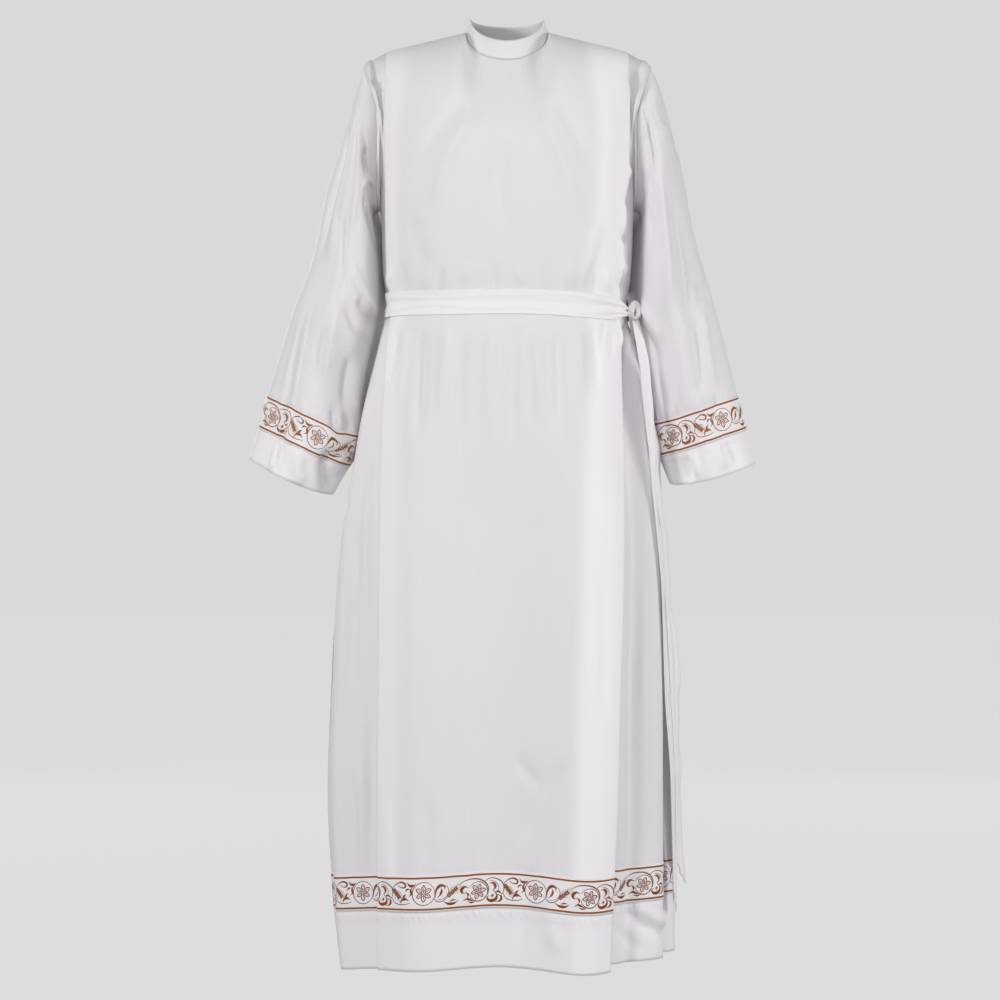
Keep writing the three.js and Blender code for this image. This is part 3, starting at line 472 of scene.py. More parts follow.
def half_columns(half, side):
    """Half of a panel's fine columns. Each row gives the place on the sections and the start on the upper
    edge. Round a pleat it also gives which turn it belongs to, how far behind the edge it lies in millimetres
    and in radii of that turn, and how much of the outer and of the inner turn lies over it."""
    edge = EDGE[half, side]

    def start_of(kind, value):
        if kind == "neck":
            length = edge["neck_at"](value)
        elif kind == "shoulder":
            length = mix(edge["neck"], edge["tip"], value)
        else:
            length = edge["arm_at"](value)
        if length <= edge["pleat"]:
            return length / edge["pleat"]
        return 1 + (length - edge["pleat"]) / (edge["total"] - edge["pleat"])

    rows = []
    before = (0.0, "neck", 0)
    for place, kind, value, steps in PANEL_COLUMNS:
        for share in np.arange(1, steps + 1) / steps:
            first = before[2] if before[1] == kind else 0
            start = start_of(kind, mix(first, value, share))
            rows.append((mix(before[0], place, share), start, 0, 0, 0, 0, 0))
        before = (place, kind, value)
    last = rows[-1]
    for share in np.linspace(0, 1, 7)[1:-1]:
        rows.append((mix(last[0], 1, share), mix(last[1], 1, share), 0, 0, 0, 0, 0))
    half_turn = np.linspace(0, math.pi, 7)
    for turn in half_turn:
        rows.append((1, 1, 1, 0, 1 - math.sin(turn), (1 - math.cos(turn)) / 2, 0))
    for share in (0.3, 0.6):
        rows.append((1, 1, 1, PLEAT_BACK * share, 1 - 2 * share, 1, 0))
    for turn in half_turn:
        rows.append((1, 1, 2, PLEAT_BACK, math.sin(turn) - 1, 1, (1 - math.cos(turn)) / 2))
    for share in (0.3, 0.6, 1):
        rows.append((1, 1, 2, mix(PLEAT_BACK, PLEAT_END, share), share - 1, 1, 1))
    before, previous = (1.0, "shoulder", None), 1.0
    for place, kind, value, steps in SIDE_COLUMNS:
        end = start_of(kind, value)
        for share in np.arange(1, steps + 1) / steps:
            start = mix(previous, end, share)
            if kind == before[1] == "armhole":
                start = start_of(kind, mix(before[2], value, share))
            rows.append((mix(before[0], place, share), start, 0, 0, 0, 1, 1))
        before, previous = (place, kind, value), end
    return np.array(rows)


COLUMNS = {(half, side): half_columns(half, side) for half in FACING for side in (-1, 1)}

# A panel's levels at a column, and into how many rows the cloth above each is divided. Rows lie along both
# edges of the sash and of the galloon.
UPPER_LEVELS = [(0.16, 5), (0.4, 8), (0.7, 10), (1.0, 11)]
LOWER_DOWNS = [
    (350, 12), ("sash top", 10), ("sash bottom", 8), (520, 9), (640, 14), (780, 15), (950, 18),
    (1140, 20), ("galloon top", 20), ("galloon bottom", 12), ("hem", 16),
]
SASH = {"down": 441, "dropAtKnot": 10, "dropReach": 1.4, "knotPlace": 1.42, "height": 39}

# Under the left pleat of the front, the side cloth's galloon and hem hang as high as they do at this place.
HEM_STEP = {"half": "front", "side": 1, "place": 1.2}


def sash_down(half, place):
    from_knot = np.abs(place - SASH["knotPlace"]) if half == "front" else 4 - SASH["knotPlace"] - place
    return SASH["down"] + SASH["dropAtKnot"] * (1 - smooth(from_knot, 0, SASH["dropReach"]))


def own_hem(half, side, at, turn_kind):
    """How far down the hem is at each column."""
    if half == HEM_STEP["half"] and side == HEM_STEP["side"]:
        under = (turn_kind == 2) | (at > 1)
        at = np.where(under, np.maximum(at, HEM_STEP["place"]), at)
    return hem_down(half, side * at)


def panel_levels(half, place, own):
    """The levels of a panel's rows at each column, from the upper edge to the column's own hem."""
    middle = sash_down(half, place)
    named = {
        "sash top": middle - SASH["height"] / 2,
        "sash bottom": middle + SASH["height"] / 2,
        "galloon top": own - GALLOON_ABOVE_HEM - GALLOON_WIDTH,
        "galloon bottom": own - GALLOON_ABOVE_HEM,
        "hem": own,
    }
    lower = [(level_of(half, place, named.get(down, down)), steps) for down, steps in LOWER_DOWNS]
    rows = [0 * place]
    for level, steps in UPPER_LEVELS + lower:
        before = rows[-1]
        rows += [mix(before, level, step / steps) for step in range(1, steps + 1)]
    return np.array(rows)


def first_row(name):
    """The row of a panel at which a named level lies, counted from the upper edge."""
    lower = [down for down, _ in LOWER_DOWNS]
    return sum(steps for _, steps in UPPER_LEVELS + LOWER_DOWNS[:lower.index(name) + 1])


# The levels over which the upper edge gives way to the sections, and over which a pleat's layers part.
FROM_UPPER_EDGE = (0, 0.5)
PLEAT_PARTS = (-0.02, 0.07)
# Doubled cloth is brighter: how much in the pleats, in the turned-up hem, and over a pleat, where the folded
# cloth under it shows through, and how far from the pleat's edge it does. On the wearer's left this
# brightening over a pleat is stronger and reaches well beyond the folded cloth: there it is partly a painted
# highlight on the lit ridge beside the pleat.
DOUBLED_IN_PLEAT = 0.7
DOUBLED_IN_HEM = 0.65
HEM_TURN_ABOVE_GALLOON = 8
SHOWN_AND_HIGHLIGHT = {-1: 0.6, 1: 1.0}
SHOWN_AND_HIGHLIGHT_REACH = {-1: 36, 1: 66}
SHOWN_AND_HIGHLIGHT_EDGE = 14
# The gathers above and below the galloon: how far above its lower edge each lies, how wide and how strong.
GATHERS = [(-6, 9, 1), (GALLOON_WIDTH + 6, 7, 0.35)]


def panel_grid(half):
    """A panel's cloth as rows of points from the upper edge down, with how far its cloth is doubled at each
    point, with a painted highlight beside the pleats on the wearer's left, and how much it is puckered."""
    sides = [(-1, COLUMNS[half, -1][::-1]), (1, np.zeros((1, 7))), (1, COLUMNS[half, 1])]
    grids, layers_and_highlight, gathers = [], [], []
    for side, columns in sides:
        at, start, turn_kind, back, radii, outer, inner = columns.T
        in_pleat = turn_kind > 0
        own = own_hem(half, side, at, turn_kind)
        level = panel_levels(half, side * at, own)
        down = down_at(half, side * at, level)
        below = np.maximum(down, CHEST_DOWN)
        near_edge = 1 - smooth(level, *FROM_UPPER_EDGE)
        pleat, total = (
            mix(section_length(half, side, below, name), EDGE[half, side][name], near_edge)
            for name in ("pleat", "total")
        )
        inner_turn = mix(*INNER_TURN, level / 2)
        turn = np.where(turn_kind == 2, inner_turn, PLEAT_TURN)
        plain = mix(start, at, smooth(level, 0, 1))
        place = side * np.where(in_pleat, 1 - (back + radii * turn) / pleat, plain)
        beyond = (plain - 1) * (total - pleat)
        under = 2 * (PLEAT_TURN + inner_turn) * (1 - smooth(beyond, 0, mix(*SETTLE, level / 2)))
        folded = 2 * (outer * PLEAT_TURN + inner * inner_turn)
        depth = np.where(in_pleat, folded, np.where(plain < 1, 0, under)) * smooth(level, *PLEAT_PARTS)
        out = body_out(half, place, level)
        out[..., 1] = np.where((level == 0) | (np.abs(place) == 2), 0, out[..., 1])
        lift = fold_lift(half, place, level) - depth + crease_lift(half, place, down)
        points = body_form(half, place, level) + unit(out) * lift[..., None]
        points[..., 1] += FACING[half] * SEAM_GAP / 2
        grids.append(points)

        from_edge = (1 - plain) * pleat
        # painted highlight: on the wearer's left the brightening reaches far past the folded cloth and lights
        # the ridge there
        over_pleat_and_highlight = 1 - smooth(from_edge, SHOWN_AND_HIGHLIGHT_REACH[side] - SHOWN_AND_HIGHLIGHT_EDGE, SHOWN_AND_HIGHLIGHT_REACH[side] + SHOWN_AND_HIGHLIGHT_EDGE)
        shown_and_highlight = np.where(in_pleat, DOUBLED_IN_PLEAT, SHOWN_AND_HIGHLIGHT[side] * over_pleat_and_highlight * (plain < 1))
        above_hem = own - down
        turned_up = smooth(above_hem, GALLOON_ABOVE_HEM + HEM_TURN_ABOVE_GALLOON, GALLOON_ABOVE_HEM)
        layers_and_highlight.append(np.maximum(shown_and_highlight, DOUBLED_IN_HEM * turned_up))
        gathers.append(sum(strong * np.exp(-((above_hem - GALLOON_ABOVE_HEM - above) / wide) ** 2)
                           for above, wide, strong in GATHERS))
    return tuple(np.concatenate(parts, axis=1) for parts in (grids, layers_and_highlight, gathers))


# Creases of the cloth: how wide each is on its one side and on its other, how high, outwards above 0, and the
# line of points that it follows, given as places and millimetres down.
CREASE_DEPTH = 2.4
CREASE_END = 0.3  # the share of its length over which a crease dies away at each end
CLEAR_OF_SASH = (18, 42)  # from the sash's middle, the distances between which raised creases rise
CLEAR_OF_SEAM = (1.88, 2)  # the places between which all creases die away
CREASES = {}
CREASES["front"] = [
    (11, 11, -1.6, (0.06, 1140), (0.18, 1168), (0.30, 1194)),
    (12, 12, -1.8, (0.53, 1140), (0.32, 1212), (0.08, 1292)),
    (8, 10, -3.2, (1.20, 1376), (1.31, 1408), (1.81, 1452)),
    (9, 7, 2.6, (1.25, 1376), (1.39, 1396), (1.81, 1430)),
    (7, 7, -1.4, (1.00, 1404), (1.20, 1432), (1.36, 1454)),
    (10, 10, 1.5, (-0.90, 1196), (-0.92, 1290), (-0.87, 1376)),
    (12, 12, -1.5, (-0.62, 1178), (-0.60, 1290), (-0.64, 1372)),
    (10, 10, 1.6, (-0.28, 1212), (-0.32, 1304), (-0.24, 1406)),
    (14, 14, -1.6, (0.12, 1300), (0.20, 1372), (0.08, 1450)),
    (12, 12, 1.5, (0.45, 1334), (0.41, 1404), (0.53, 1452)),
    (8, 8, -1.4, (-1.33, 1160), (-1.31, 1266), (-1.33, 1376)),
    (7, 7, 1.4, (-1.20, 1122), (-1.20, 1246), (-1.17, 1340)),
    (7, 9, -1.3, (-1.13, 1064), (-1.11, 1188), (-1.09, 1292)),
    (7, 9, -2.2, (-1.78, 686), (-1.85, 734), (-1.48, 778)),
    (8, 8, 1.6, (-1.48, 808), (-1.45, 940), (-1.45, 1092)),
    (8, 8, -1.5, (-1.36, 780), (-1.33, 902), (-1.33, 1064)),
    (7, 7, 1.3, (-1.28, 658), (-1.23, 780), (-1.17, 940)),
    (6, 6, -1.2, (-1.25, 564), (-1.20, 660), (-1.15, 752)),
    (6, 7, 3.0, (1.72, 464), (2.00, 490), (1.48, 528)),
    (6, 8, 5.2, (1.80, 462), (1.50, 528), (1.40, 588), (1.42, 700), (1.46, 800)),
    (48, 30, 2.4, (0.97, 620), (0.98, 1000), (0.98, 1470)),
    (40, 40, -1.2, (0.58, 660), (0.56, 1000), (0.6, 1470)),
    (5, 5, -1.5, (1.75, 476), (1.78, 502), (1.58, 532)),
    (6, 5, -2.2, (1.31, 466), (1.33, 494), (1.36, 538)),
    (6, 6, -2.0, (0.94, 464), (0.86, 490), (0.86, 530)),
    (5, 5, 1.6, (1.05, 466), (1.02, 488), (0.94, 516)),
    (5, 5, -1.4, (0.80, 466), (0.78, 490), (0.76, 528)),
    (8, 6, 1.8, (1.45, 658), (1.91, 716), (1.69, 782)),
    (7, 7, -1.2, (0.78, 846), (0.83, 970), (0.84, 1092)),
    (9, 9, 1.4, (1.31, 846), (1.31, 970), (1.31, 1122)),
    (8, 8, -1.4, (1.15, 940), (1.20, 1092), (1.20, 1248)),
    (8, 8, 1.3, (1.09, 1186), (1.11, 1260), (1.09, 1324)),
    (9, 9, 2.6, (0.91, 222), (0.96, 234), (1.47, 234)),
    (9, 9, -2.4, (0.94, 268), (1.13, 282), (1.33, 292)),
    (9, 9, -3.0, (0.88, 338), (1.07, 338), (1.39, 340)),
    (8, 8, 2.4, (0.94, 374), (1.11, 382), (1.39, 390)),
    (8, 8, -2.0, (0.88, 412), (1.00, 412), (1.42, 406)),
    (7, 7, -2.2, (-1.11, 76), (-1.08, 88), (-1.07, 104)),
    (7, 7, 1.8, (-1.27, 82), (-1.32, 102), (-1.20, 122)),
    (8, 8, -2.0, (1.05, 46), (1.05, 76), (1.06, 108)),
    (10, 12, -2.0, (-0.29, 110), (-0.49, 176), (-0.74, 268)),
    (12, 10, 2.0, (-0.15, 126), (-0.40, 204), (-0.56, 316)),
    (10, 12, -2.0, (0.31, 112), (0.49, 176), (0.74, 268)),
    (12, 12, 1.8, (0.17, 124), (0.40, 222), (0.56, 326)),
    (14, 14, -2.0, (0.00, 158), (-0.06, 256), (0.00, 350)),
    (9, 9, -1.6, (-0.72, 292), (-0.64, 358), (-0.53, 426)),
    (9, 9, 1.6, (0.72, 304), (0.66, 366), (0.58, 430)),
    (6, 6, 1.8, (-0.90, 386), (-0.99, 406), (-0.95, 430)),
    (6, 6, -1.8, (-0.80, 378), (-0.78, 408), (-0.82, 432)),
    (7, 7, 1.6, (-0.60, 372), (-0.58, 400), (-0.62, 436)),
    (6, 6, -1.5, (-0.47, 386), (-0.49, 414), (-0.49, 436)),
    (8, 8, 1.4, (-0.28, 378), (-0.30, 408), (-0.28, 436)),
    (7, 7, -1.6, (-0.10, 372), (-0.10, 408), (-0.10, 436)),
    (7, 7, 1.6, (0.10, 386), (0.10, 408), (0.12, 436)),
    (6, 6, -1.6, (0.30, 372), (0.32, 408), (0.30, 438)),
    (7, 7, 1.8, (0.49, 372), (0.51, 410), (0.51, 434)),
    (6, 6, -1.8, (0.66, 380), (0.70, 412), (0.72, 436)),
    (6, 6, 2.0, (0.80, 388), (0.85, 412), (0.91, 434)),
    (7, 7, -2.4, (-0.90, 474), (-0.91, 514), (-0.99, 590)),
    (7, 7, 2.0, (-0.80, 474), (-0.80, 520), (-0.86, 624)),
    (8, 8, -2.4, (-0.64, 474), (-0.64, 538), (-0.68, 668)),
    (8, 8, 1.8, (-0.45, 474), (-0.47, 528), (-0.51, 640)),
    (8, 8, -2.2, (-0.32, 474), (-0.34, 554), (-0.38, 706)),
    (9, 9, 1.8, (-0.12, 474), (-0.14, 538), (-0.16, 660)),
    (8, 8, -2.0, (0.04, 474), (0.04, 546), (0.04, 688)),
    (8, 8, 2.0, (0.22, 474), (0.24, 528), (0.28, 640)),
    (8, 8, -2.4, (0.40, 476), (0.41, 546), (0.45, 668)),
    (7, 7, 2.0, (0.56, 476), (0.58, 520), (0.62, 606)),
    (7, 7, -2.2, (0.68, 478), (0.70, 508), (0.74, 596)),
]
CREASES["back"] = [
    (26, 26, 2.4, (1.62, 372), (1.66, 440)),
    (8, 8, 1.8, (-0.95, 386), (-0.98, 406), (-0.96, 432)),
    (7, 7, -2.0, (-0.74, 378), (-0.72, 404), (-0.74, 432)),
    (8, 8, 1.8, (-0.5, 372), (-0.52, 402), (-0.5, 434)),
    (7, 7, -1.8, (-0.3, 384), (-0.28, 408), (-0.3, 434)),
    (9, 9, 2.0, (-0.08, 366), (-0.06, 400), (-0.08, 434)),
    (7, 7, -2.0, (0.14, 380), (0.16, 406), (0.14, 434)),
    (8, 8, 1.6, (0.36, 370), (0.34, 402), (0.36, 434)),
    (7, 7, -1.8, (0.58, 382), (0.6, 408), (0.58, 434)),
    (8, 8, 2.0, (0.8, 374), (0.82, 404), (0.84, 434)),
    (8, 8, -2.4, (-0.86, 468), (-0.84, 520), (-0.8, 640)),
    (8, 8, 2.2, (-0.66, 468), (-0.68, 530), (-0.7, 670)),
    (9, 9, -2.6, (-0.42, 468), (-0.4, 540), (-0.42, 700)),
    (8, 8, 2.0, (-0.22, 468), (-0.24, 530), (-0.2, 660)),
    (9, 9, -2.2, (0.04, 468), (0.02, 540), (0.06, 720)),
    (8, 8, 2.2, (0.28, 468), (0.3, 530), (0.32, 650)),
    (8, 8, -2.4, (0.5, 468), (0.5, 540), (0.54, 700)),
    (8, 8, 2.0, (0.72, 468), (0.74, 520), (0.76, 640)),
    (8, 8, -2.2, (0.92, 468), (0.9, 520), (0.88, 620)),
    (7, 7, 2.0, (1.3, 470), (1.32, 520), (1.34, 620)),
    (7, 7, -2.2, (-1.5, 470), (-1.48, 520), (-1.5, 620)),
    (7, 7, 2.0, (-1.25, 470), (-1.28, 530), (-1.3, 640)),
    (7, 7, -2.0, (1.6, 470), (1.58, 530), (1.56, 640)),
    (14, 12, -2.6, (-1.05, 150), (-0.6, 214), (-0.1, 262)),
    (14, 12, 2.4, (-1.0, 190), (-0.55, 254), (-0.1, 300)),
    (12, 14, -2.6, (1.05, 156), (0.62, 220), (0.16, 270)),
    (12, 14, 2.2, (1.0, 200), (0.6, 262), (0.2, 312)),
    (16, 16, -2.0, (-0.4, 70), (0.02, 92), (0.42, 72)),
    (12, 12, 1.6, (-0.2, 1120), (-0.24, 1220), (-0.2, 1330)),
    (11, 11, -1.8, (0.3, 1080), (0.34, 1190), (0.3, 1320)),
    (10, 10, 1.6, (0.74, 1060), (0.78, 1180), (0.74, 1300)),
    (11, 11, -1.8, (-0.68, 1060), (-0.66, 1180), (-0.7, 1310)),
    (9, 9, 1.8, (-1.3, 900), (-1.34, 1060), (-1.32, 1240)),
    (9, 9, -1.8, (1.2, 880), (1.22, 1050), (1.2, 1230)),
    (9, 9, 1.6, (1.54, 860), (1.56, 1020), (1.54, 1200)),
    (10, 9, -2.4, (-1.1, 1392), (-1.4, 1420), (-1.78, 1446)),
    (12, 12, 1.6, (0.5, 1390), (0.46, 1420), (0.54, 1456)),
    (12, 12, -1.6, (-0.3, 1392), (-0.26, 1424), (-0.34, 1458)),
]


def line_through(points, steps=8):
    """A smooth line through a few points."""
    points = np.array(points, dtype=float)
    ends = np.concatenate([2 * points[:1] - points[1:2], points, 2 * points[-1:] - points[-2:-1]])
    share = np.linspace(0, 1, steps, endpoint=False)[:, None]
    runs = [curve(a, (b - before) / 2, b, (after - a) / 2, share)
            for before, a, b, after in zip(ends, ends[1:], ends[2:], ends[3:])]
    return np.concatenate(runs + [points[-1:]])


def crease(across, along, points, width, other, high):
    """How far one crease lifts the cloth, dying away towards both ends of its line."""
    line = line_through(points)
    best = np.full(across.shape, 1e9)
    sign, place = np.zeros(across.shape), np.zeros(across.shape)
    for k, (a, b) in enumerate(zip(line, line[1:])):
        run = b - a
        du, dv = across - a[0], along - a[1]
        t = np.clip((du * run[0] + dv * run[1]) / (run @ run), 0, 1)
        away = np.hypot(du - t * run[0], dv - t * run[1])
        nearer = away < best
        best = np.where(nearer, away, best)
        sign = np.where(nearer, du * run[1] - dv * run[0], sign)
        place = np.where(nearer, (k + t) / (len(line) - 1), place)
    ends = smooth(place, 0, CREASE_END) * (1 - smooth(place, 1 - CREASE_END, 1))
    return high * ends * np.exp(-(best / np.where(sign > 0, other, width)) ** 2)


def crease_lift(half, place, down):
    """How far the creases lift the cloth."""
    lift = np.zeros(place.shape)
    across = cloth_across(half, place, down)
    for width, other, high, *points in CREASES[half]:
        path = [(float(cloth_across(half, np.float64(at), deep)), deep) for at, deep in points]
        lift += CREASE_DEPTH * crease(across, down, path, width, other, high)
    clear = smooth(np.abs(down - sash_down(half, place)), *CLEAR_OF_SASH)
    return np.where(lift > 0, lift * clear, lift) * (1 - smooth(np.abs(place), *CLEAR_OF_SEAM))


def lay_grid(bm, points):
    """A new grid of faces, laid on rows of points."""
    rows, columns = points.shape[:2]
    laid = bmesh.ops.create_grid(bm, x_segments=columns - 1, y_segments=rows - 1, size=1)
    for vert, place in zip(laid["verts"], points.reshape(-1, 3) * MM):
        vert.co = place


def finished_piece(name, mesh, look):
    """A smooth piece of the garment from its mesh."""
    mesh.polygons.foreach_set("use_smooth", np.ones(len(mesh.polygons), dtype=bool))
    mesh.materials.append(look)
    piece = put_in_scene(name, mesh)
    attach(piece, "root")
    return piece


def cloth_piece(name, grid, look, thickness=CLOTH, ring=False, layers_and_highlight=0.0, gathers=0.0):
    """A sheet of cloth from rows of points: a mesh with a map of the cut cloth in metres, with how far the
    cloth is doubled, with any painted highlight, and how far it is puckered at each point, and with a
    thickness."""

    def from_foot(rows):
        rows = rows[::-1]
        return np.concatenate([rows, rows[:, :1]], axis=1) if ring else rows

    points = from_foot(grid)
    across = running_length(points, axis=1)
    across -= across[:, -1:] / 2
    up = running_length(points[:, points.shape[1] // 2])
    cut = np.stack([across, np.broadcast_to(up[:, None], across.shape)], axis=-1) * MM
    bm = bmesh.new()
    lay_grid(bm, points)
    mesh = bpy.data.meshes.new(name)
    bm.to_mesh(mesh)
    corners = np.empty(len(mesh.loops), dtype=np.int32)
    mesh.loops.foreach_get("vertex_index", corners)
    mesh.uv_layers.new(name="cut").data.foreach_set("uv", cut.reshape(-1, 2)[corners].ravel())
    for key, value in (("layers_and_highlight", layers_and_highlight), ("gathers", gathers)):
        value = from_foot(np.broadcast_to(value, grid.shape[:2])).astype(np.float32)
        mesh.attributes.new(key, "FLOAT", "POINT").data.foreach_set("value", value.ravel())
    if ring:
        bm.clear()
        bm.from_mesh(mesh)
        bmesh.ops.remove_doubles(bm, verts=bm.verts, dist=1e-6)
        bm.to_mesh(mesh)
    bm.free()
    piece = finished_piece(name, mesh, look)
    if thickness:
        wall = piece.modifiers.new("thickness", "SOLIDIFY")
        wall.thickness = thickness * MM
        wall.offset = 0
        wall.use_even_offset = False
    return piece


def maths(tree, operation, *values):
    return add_node(tree, "Math", dict(enumerate(values)), operation=operation).outputs[0]


def mixed(tree, first, second, share):
    """The colour between two, by a share from 0 to 1."""
    inputs = {"A": first, "B": second, "Factor": share}
    return add_node(tree, "Mix", inputs, data_type="RGBA").outputs["Result"]


def cut_map(tree):
    return add_node(tree, "UVMap", {}, uv_map="cut").outputs["UV"]


def stretched_noise(tree, across, up, detail):
    """Soft noise over the cut cloth, with about so many changes a metre across it and up it."""
    stretched = add_node(tree, "Mapping", {"Vector": cut_map(tree), "Scale": (across, up, 1)})
    inputs = {"Vector": stretched.outputs["Vector"], "Scale": 1, "Detail": detail}
    return add_node(tree, "TexNoise", inputs).outputs["Fac"]


def new_group(name, inputs, outputs):
    """A new node group that materials share, and the nodes for its inputs and its outputs."""
    tree = bpy.data.node_groups.new(name, "ShaderNodeTree")
    for way, sockets in (("INPUT", inputs), ("OUTPUT", outputs)):
        for socket in sockets:
            tree.interface.new_socket(socket, in_out=way, socket_type="NodeSocketFloat")
    return tree, tree.nodes.new("NodeGroupInput"), tree.nodes.new("NodeGroupOutput")


def weave_group():
    """Plain weave: the height of its crossing threads, and the streaks of its thicker and thinner threads."""
    tree, into, out = new_group("plain weave", ["Threads per metre"], ["Height", "Streaks"])
    inputs = {0: cut_map(tree), "Scale": into.outputs["Threads per metre"]}
    scaled = add_node(tree, "VectorMath", inputs, operation="SCALE")
    split = add_node(tree, "SeparateXYZ", {0: scaled.outputs[0]})
    warp, weft = (maths(tree, "SINE", maths(tree, "MULTIPLY", split.outputs[axis], math.pi)) for axis in "XY")
    warp_streaks = maths(tree, "MULTIPLY", stretched_noise(tree, 900, 14, 2), 0.6)
    weft_streaks = maths(tree, "MULTIPLY", stretched_noise(tree, 18, 700, 2), 0.4)
    uneven = maths(tree, "ADD", warp_streaks, weft_streaks)
    crossed = maths(tree, "MULTIPLY", maths(tree, "MULTIPLY", warp, weft), 0.5)
    height = maths(tree, "ADD", crossed, maths(tree, "MULTIPLY", uneven, 0.4))
    feed(tree, out, {"Height": height, "Streaks": uneven})
    return tree


def pucker_group():
    """Puckered cloth: the height of its small puckers, by how much the cloth is gathered."""
    tree, into, out = new_group("puckers", ["Gathered"], ["Height"])
    puckers = maths(tree, "MULTIPLY", stretched_noise(tree, 150, 22, 1), into.outputs["Gathered"])
    feed(tree, out, {"Height": puckers})
    return tree


WEAVE, PUCKERS = weave_group(), pucker_group()
CLOTH_FINISH = {"Roughness": 0.72, "Specular IOR Level": 0.3, "Sheen Weight": 0.12, "Sheen Roughness": 0.4}
PUCKER_HEIGHT = 0.0024  # in metres, as the next is
THREAD_HEIGHT = 0.00012


def cloth_look(name, colour, shade, doubled_and_highlight, threads=1900, finish=CLOTH_FINISH):
    """Woven cloth of two tones mixed by its uneven threads, brighter where doubled and where a highlight is
    painted, puckered at seams.
    """
    look, tree, shader = new_look(name, finish)
    weave = add_node(tree, "Group", {"Threads per metre": threads}, node_tree=WEAVE)
    inputs = {"Value": weave.outputs["Streaks"], "From Min": 0.35, "From Max": 0.65}
    tone = mixed(tree, shade, colour, add_node(tree, "MapRange", inputs).outputs["Result"])
    layers_and_highlight, gathers = (
        add_node(tree, "Attribute", {}, attribute_name=field).outputs["Fac"]
        for field in ("layers_and_highlight", "gathers")
    )
    puckers = add_node(tree, "Group", {"Gathered": gathers}, node_tree=PUCKERS).outputs["Height"]
    puckered = add_node(tree, "Bump", {"Height": puckers, "Strength": 1, "Distance": PUCKER_HEIGHT})
    woven = add_node(tree, "Bump", {
        "Height": weave.outputs["Height"], "Strength": 0.35, "Distance": THREAD_HEIGHT,
        "Normal": puckered.outputs["Normal"],
    })
    feed(tree, shader, {"Base Color": mixed(tree, tone, doubled_and_highlight, layers_and_highlight), "Normal": woven.outputs["Normal"]})
    return look


# the third colour is for doubled cloth, and also for the painted highlight beside the pleats
WHITE_CLOTH = cloth_look("white_cloth", (0.80, 0.774, 0.805), (0.775, 0.749, 0.78), (0.90, 0.875, 0.90))

panels = {}
for half in ("front", "back"):
    panels[half], layers_and_highlight, gathers = panel_grid(half)
    rows, layers_and_highlight, gathers = (field[:, ::-FACING[half]] for field in (panels[half], layers_and_highlight, gathers))
    piece = cloth_piece(half, rows, WHITE_CLOTH, layers_and_highlight=layers_and_highlight, gathers=gathers)
    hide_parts(half)

# ---- sleeves ---------------------------------------------------------------------------------------
# A wide sleeve of the same cloth is set into each armhole, cut straight, and hangs in long soft folds to the
# cuff, where its hem is turned up under the galloon.

# Rings: the outer and the inner point, how far the ring reaches to the front and the back, how far its front
# sags, and how far its back is tucked in behind the body.
SLEEVES = {
    1: table("outX outZ inX inZ front back sag tuck", [
        (214, -47, 206, -287, 56, 52, 0, 0),
        (224, -60, 212, -293, 64, 60, 0, 0),
        (241, -88, 214, -305, 73, 69, 0, 10),
        (257, -140, 212, -332, 81, 77, 2, 20),
        (272, -208, 210, -372, 85, 80, 4, 25),
        (288, -280, 209, -420, 84, 80, 5, 28),
        (306, -355, 210, -468, 81, 78, 5, 28),
        (326, -422, 214, -515, 77, 75, 4, 24),
        (348, -502, 223, -570, 73, 71, 3, 14),
        (368, -584, 234, -627, 69, 67, 2, 4),
        (374, -608, 238, -650, 68, 66, 3, 0),
        (381, -634, 243, -677, 67, 65, 4, 0),
        (388, -660, 251, -700, 66, 64, 7, 0),
        (396, -687, 260, -722, 65, 63, 11, 0),
    ]),
    -1: table("outX outZ inX inZ front back sag tuck", [
        (214, -47, 206, -287, 56, 52, 0, 0),
        (223, -65, 212, -293, 64, 60, 0, 0),
        (244, -112, 213, -308, 73, 69, 0, 10),
        (266, -186, 207, -340, 81, 77, 2, 18),
        (290, -266, 204, -386, 85, 80, 4, 24),
        (309, -360, 205, -440, 83, 80, 5, 28),
        (339, -440, 214, -492, 80, 78, 5, 30),
        (356, -496, 223, -540, 77, 75, 4, 28),
        (371, -545, 230, -592, 74, 72, 3, 24),
        (382, -582, 235, -648, 71, 69, 2, 24),
        (388, -606, 240, -670, 70, 68, 5, 22),
        (395, -631, 252, -692, 69, 67, 7, 16),
        (403, -656, 264, -715, 67, 65, 8, 8),
        (411, -682, 277, -739, 65, 63, 9, 0),
    ]),
}
TUCK = {"angle": 228, "width": 30}  # where round a sleeve the tuck lies and how wide it is, in degrees

# Folds: the ring and the angle round it where each starts and ends, how wide it is in degrees, how high,
# outwards above 0, and over how many rings it grows and dies away.
SLEEVE_FOLDS = {
    1: [
        (3, 62, 15, 70, 24, -9, 2),
        (5, 118, 15, 108, 26, -12, 2),
        (4, 100, 15, 92, 22, 7, 2),
        (3, 250, 15, 262, 30, -9, 2),
    ],
    -1: [
        (2, 66, 15, 44, 22, -8, 2),
        (3, 104, 10, 132, 22, -11, 2),
        (6, 92, 15, 116, 28, -11, 2),
        (3, 250, 15, 262, 30, -9, 2),
    ],
}
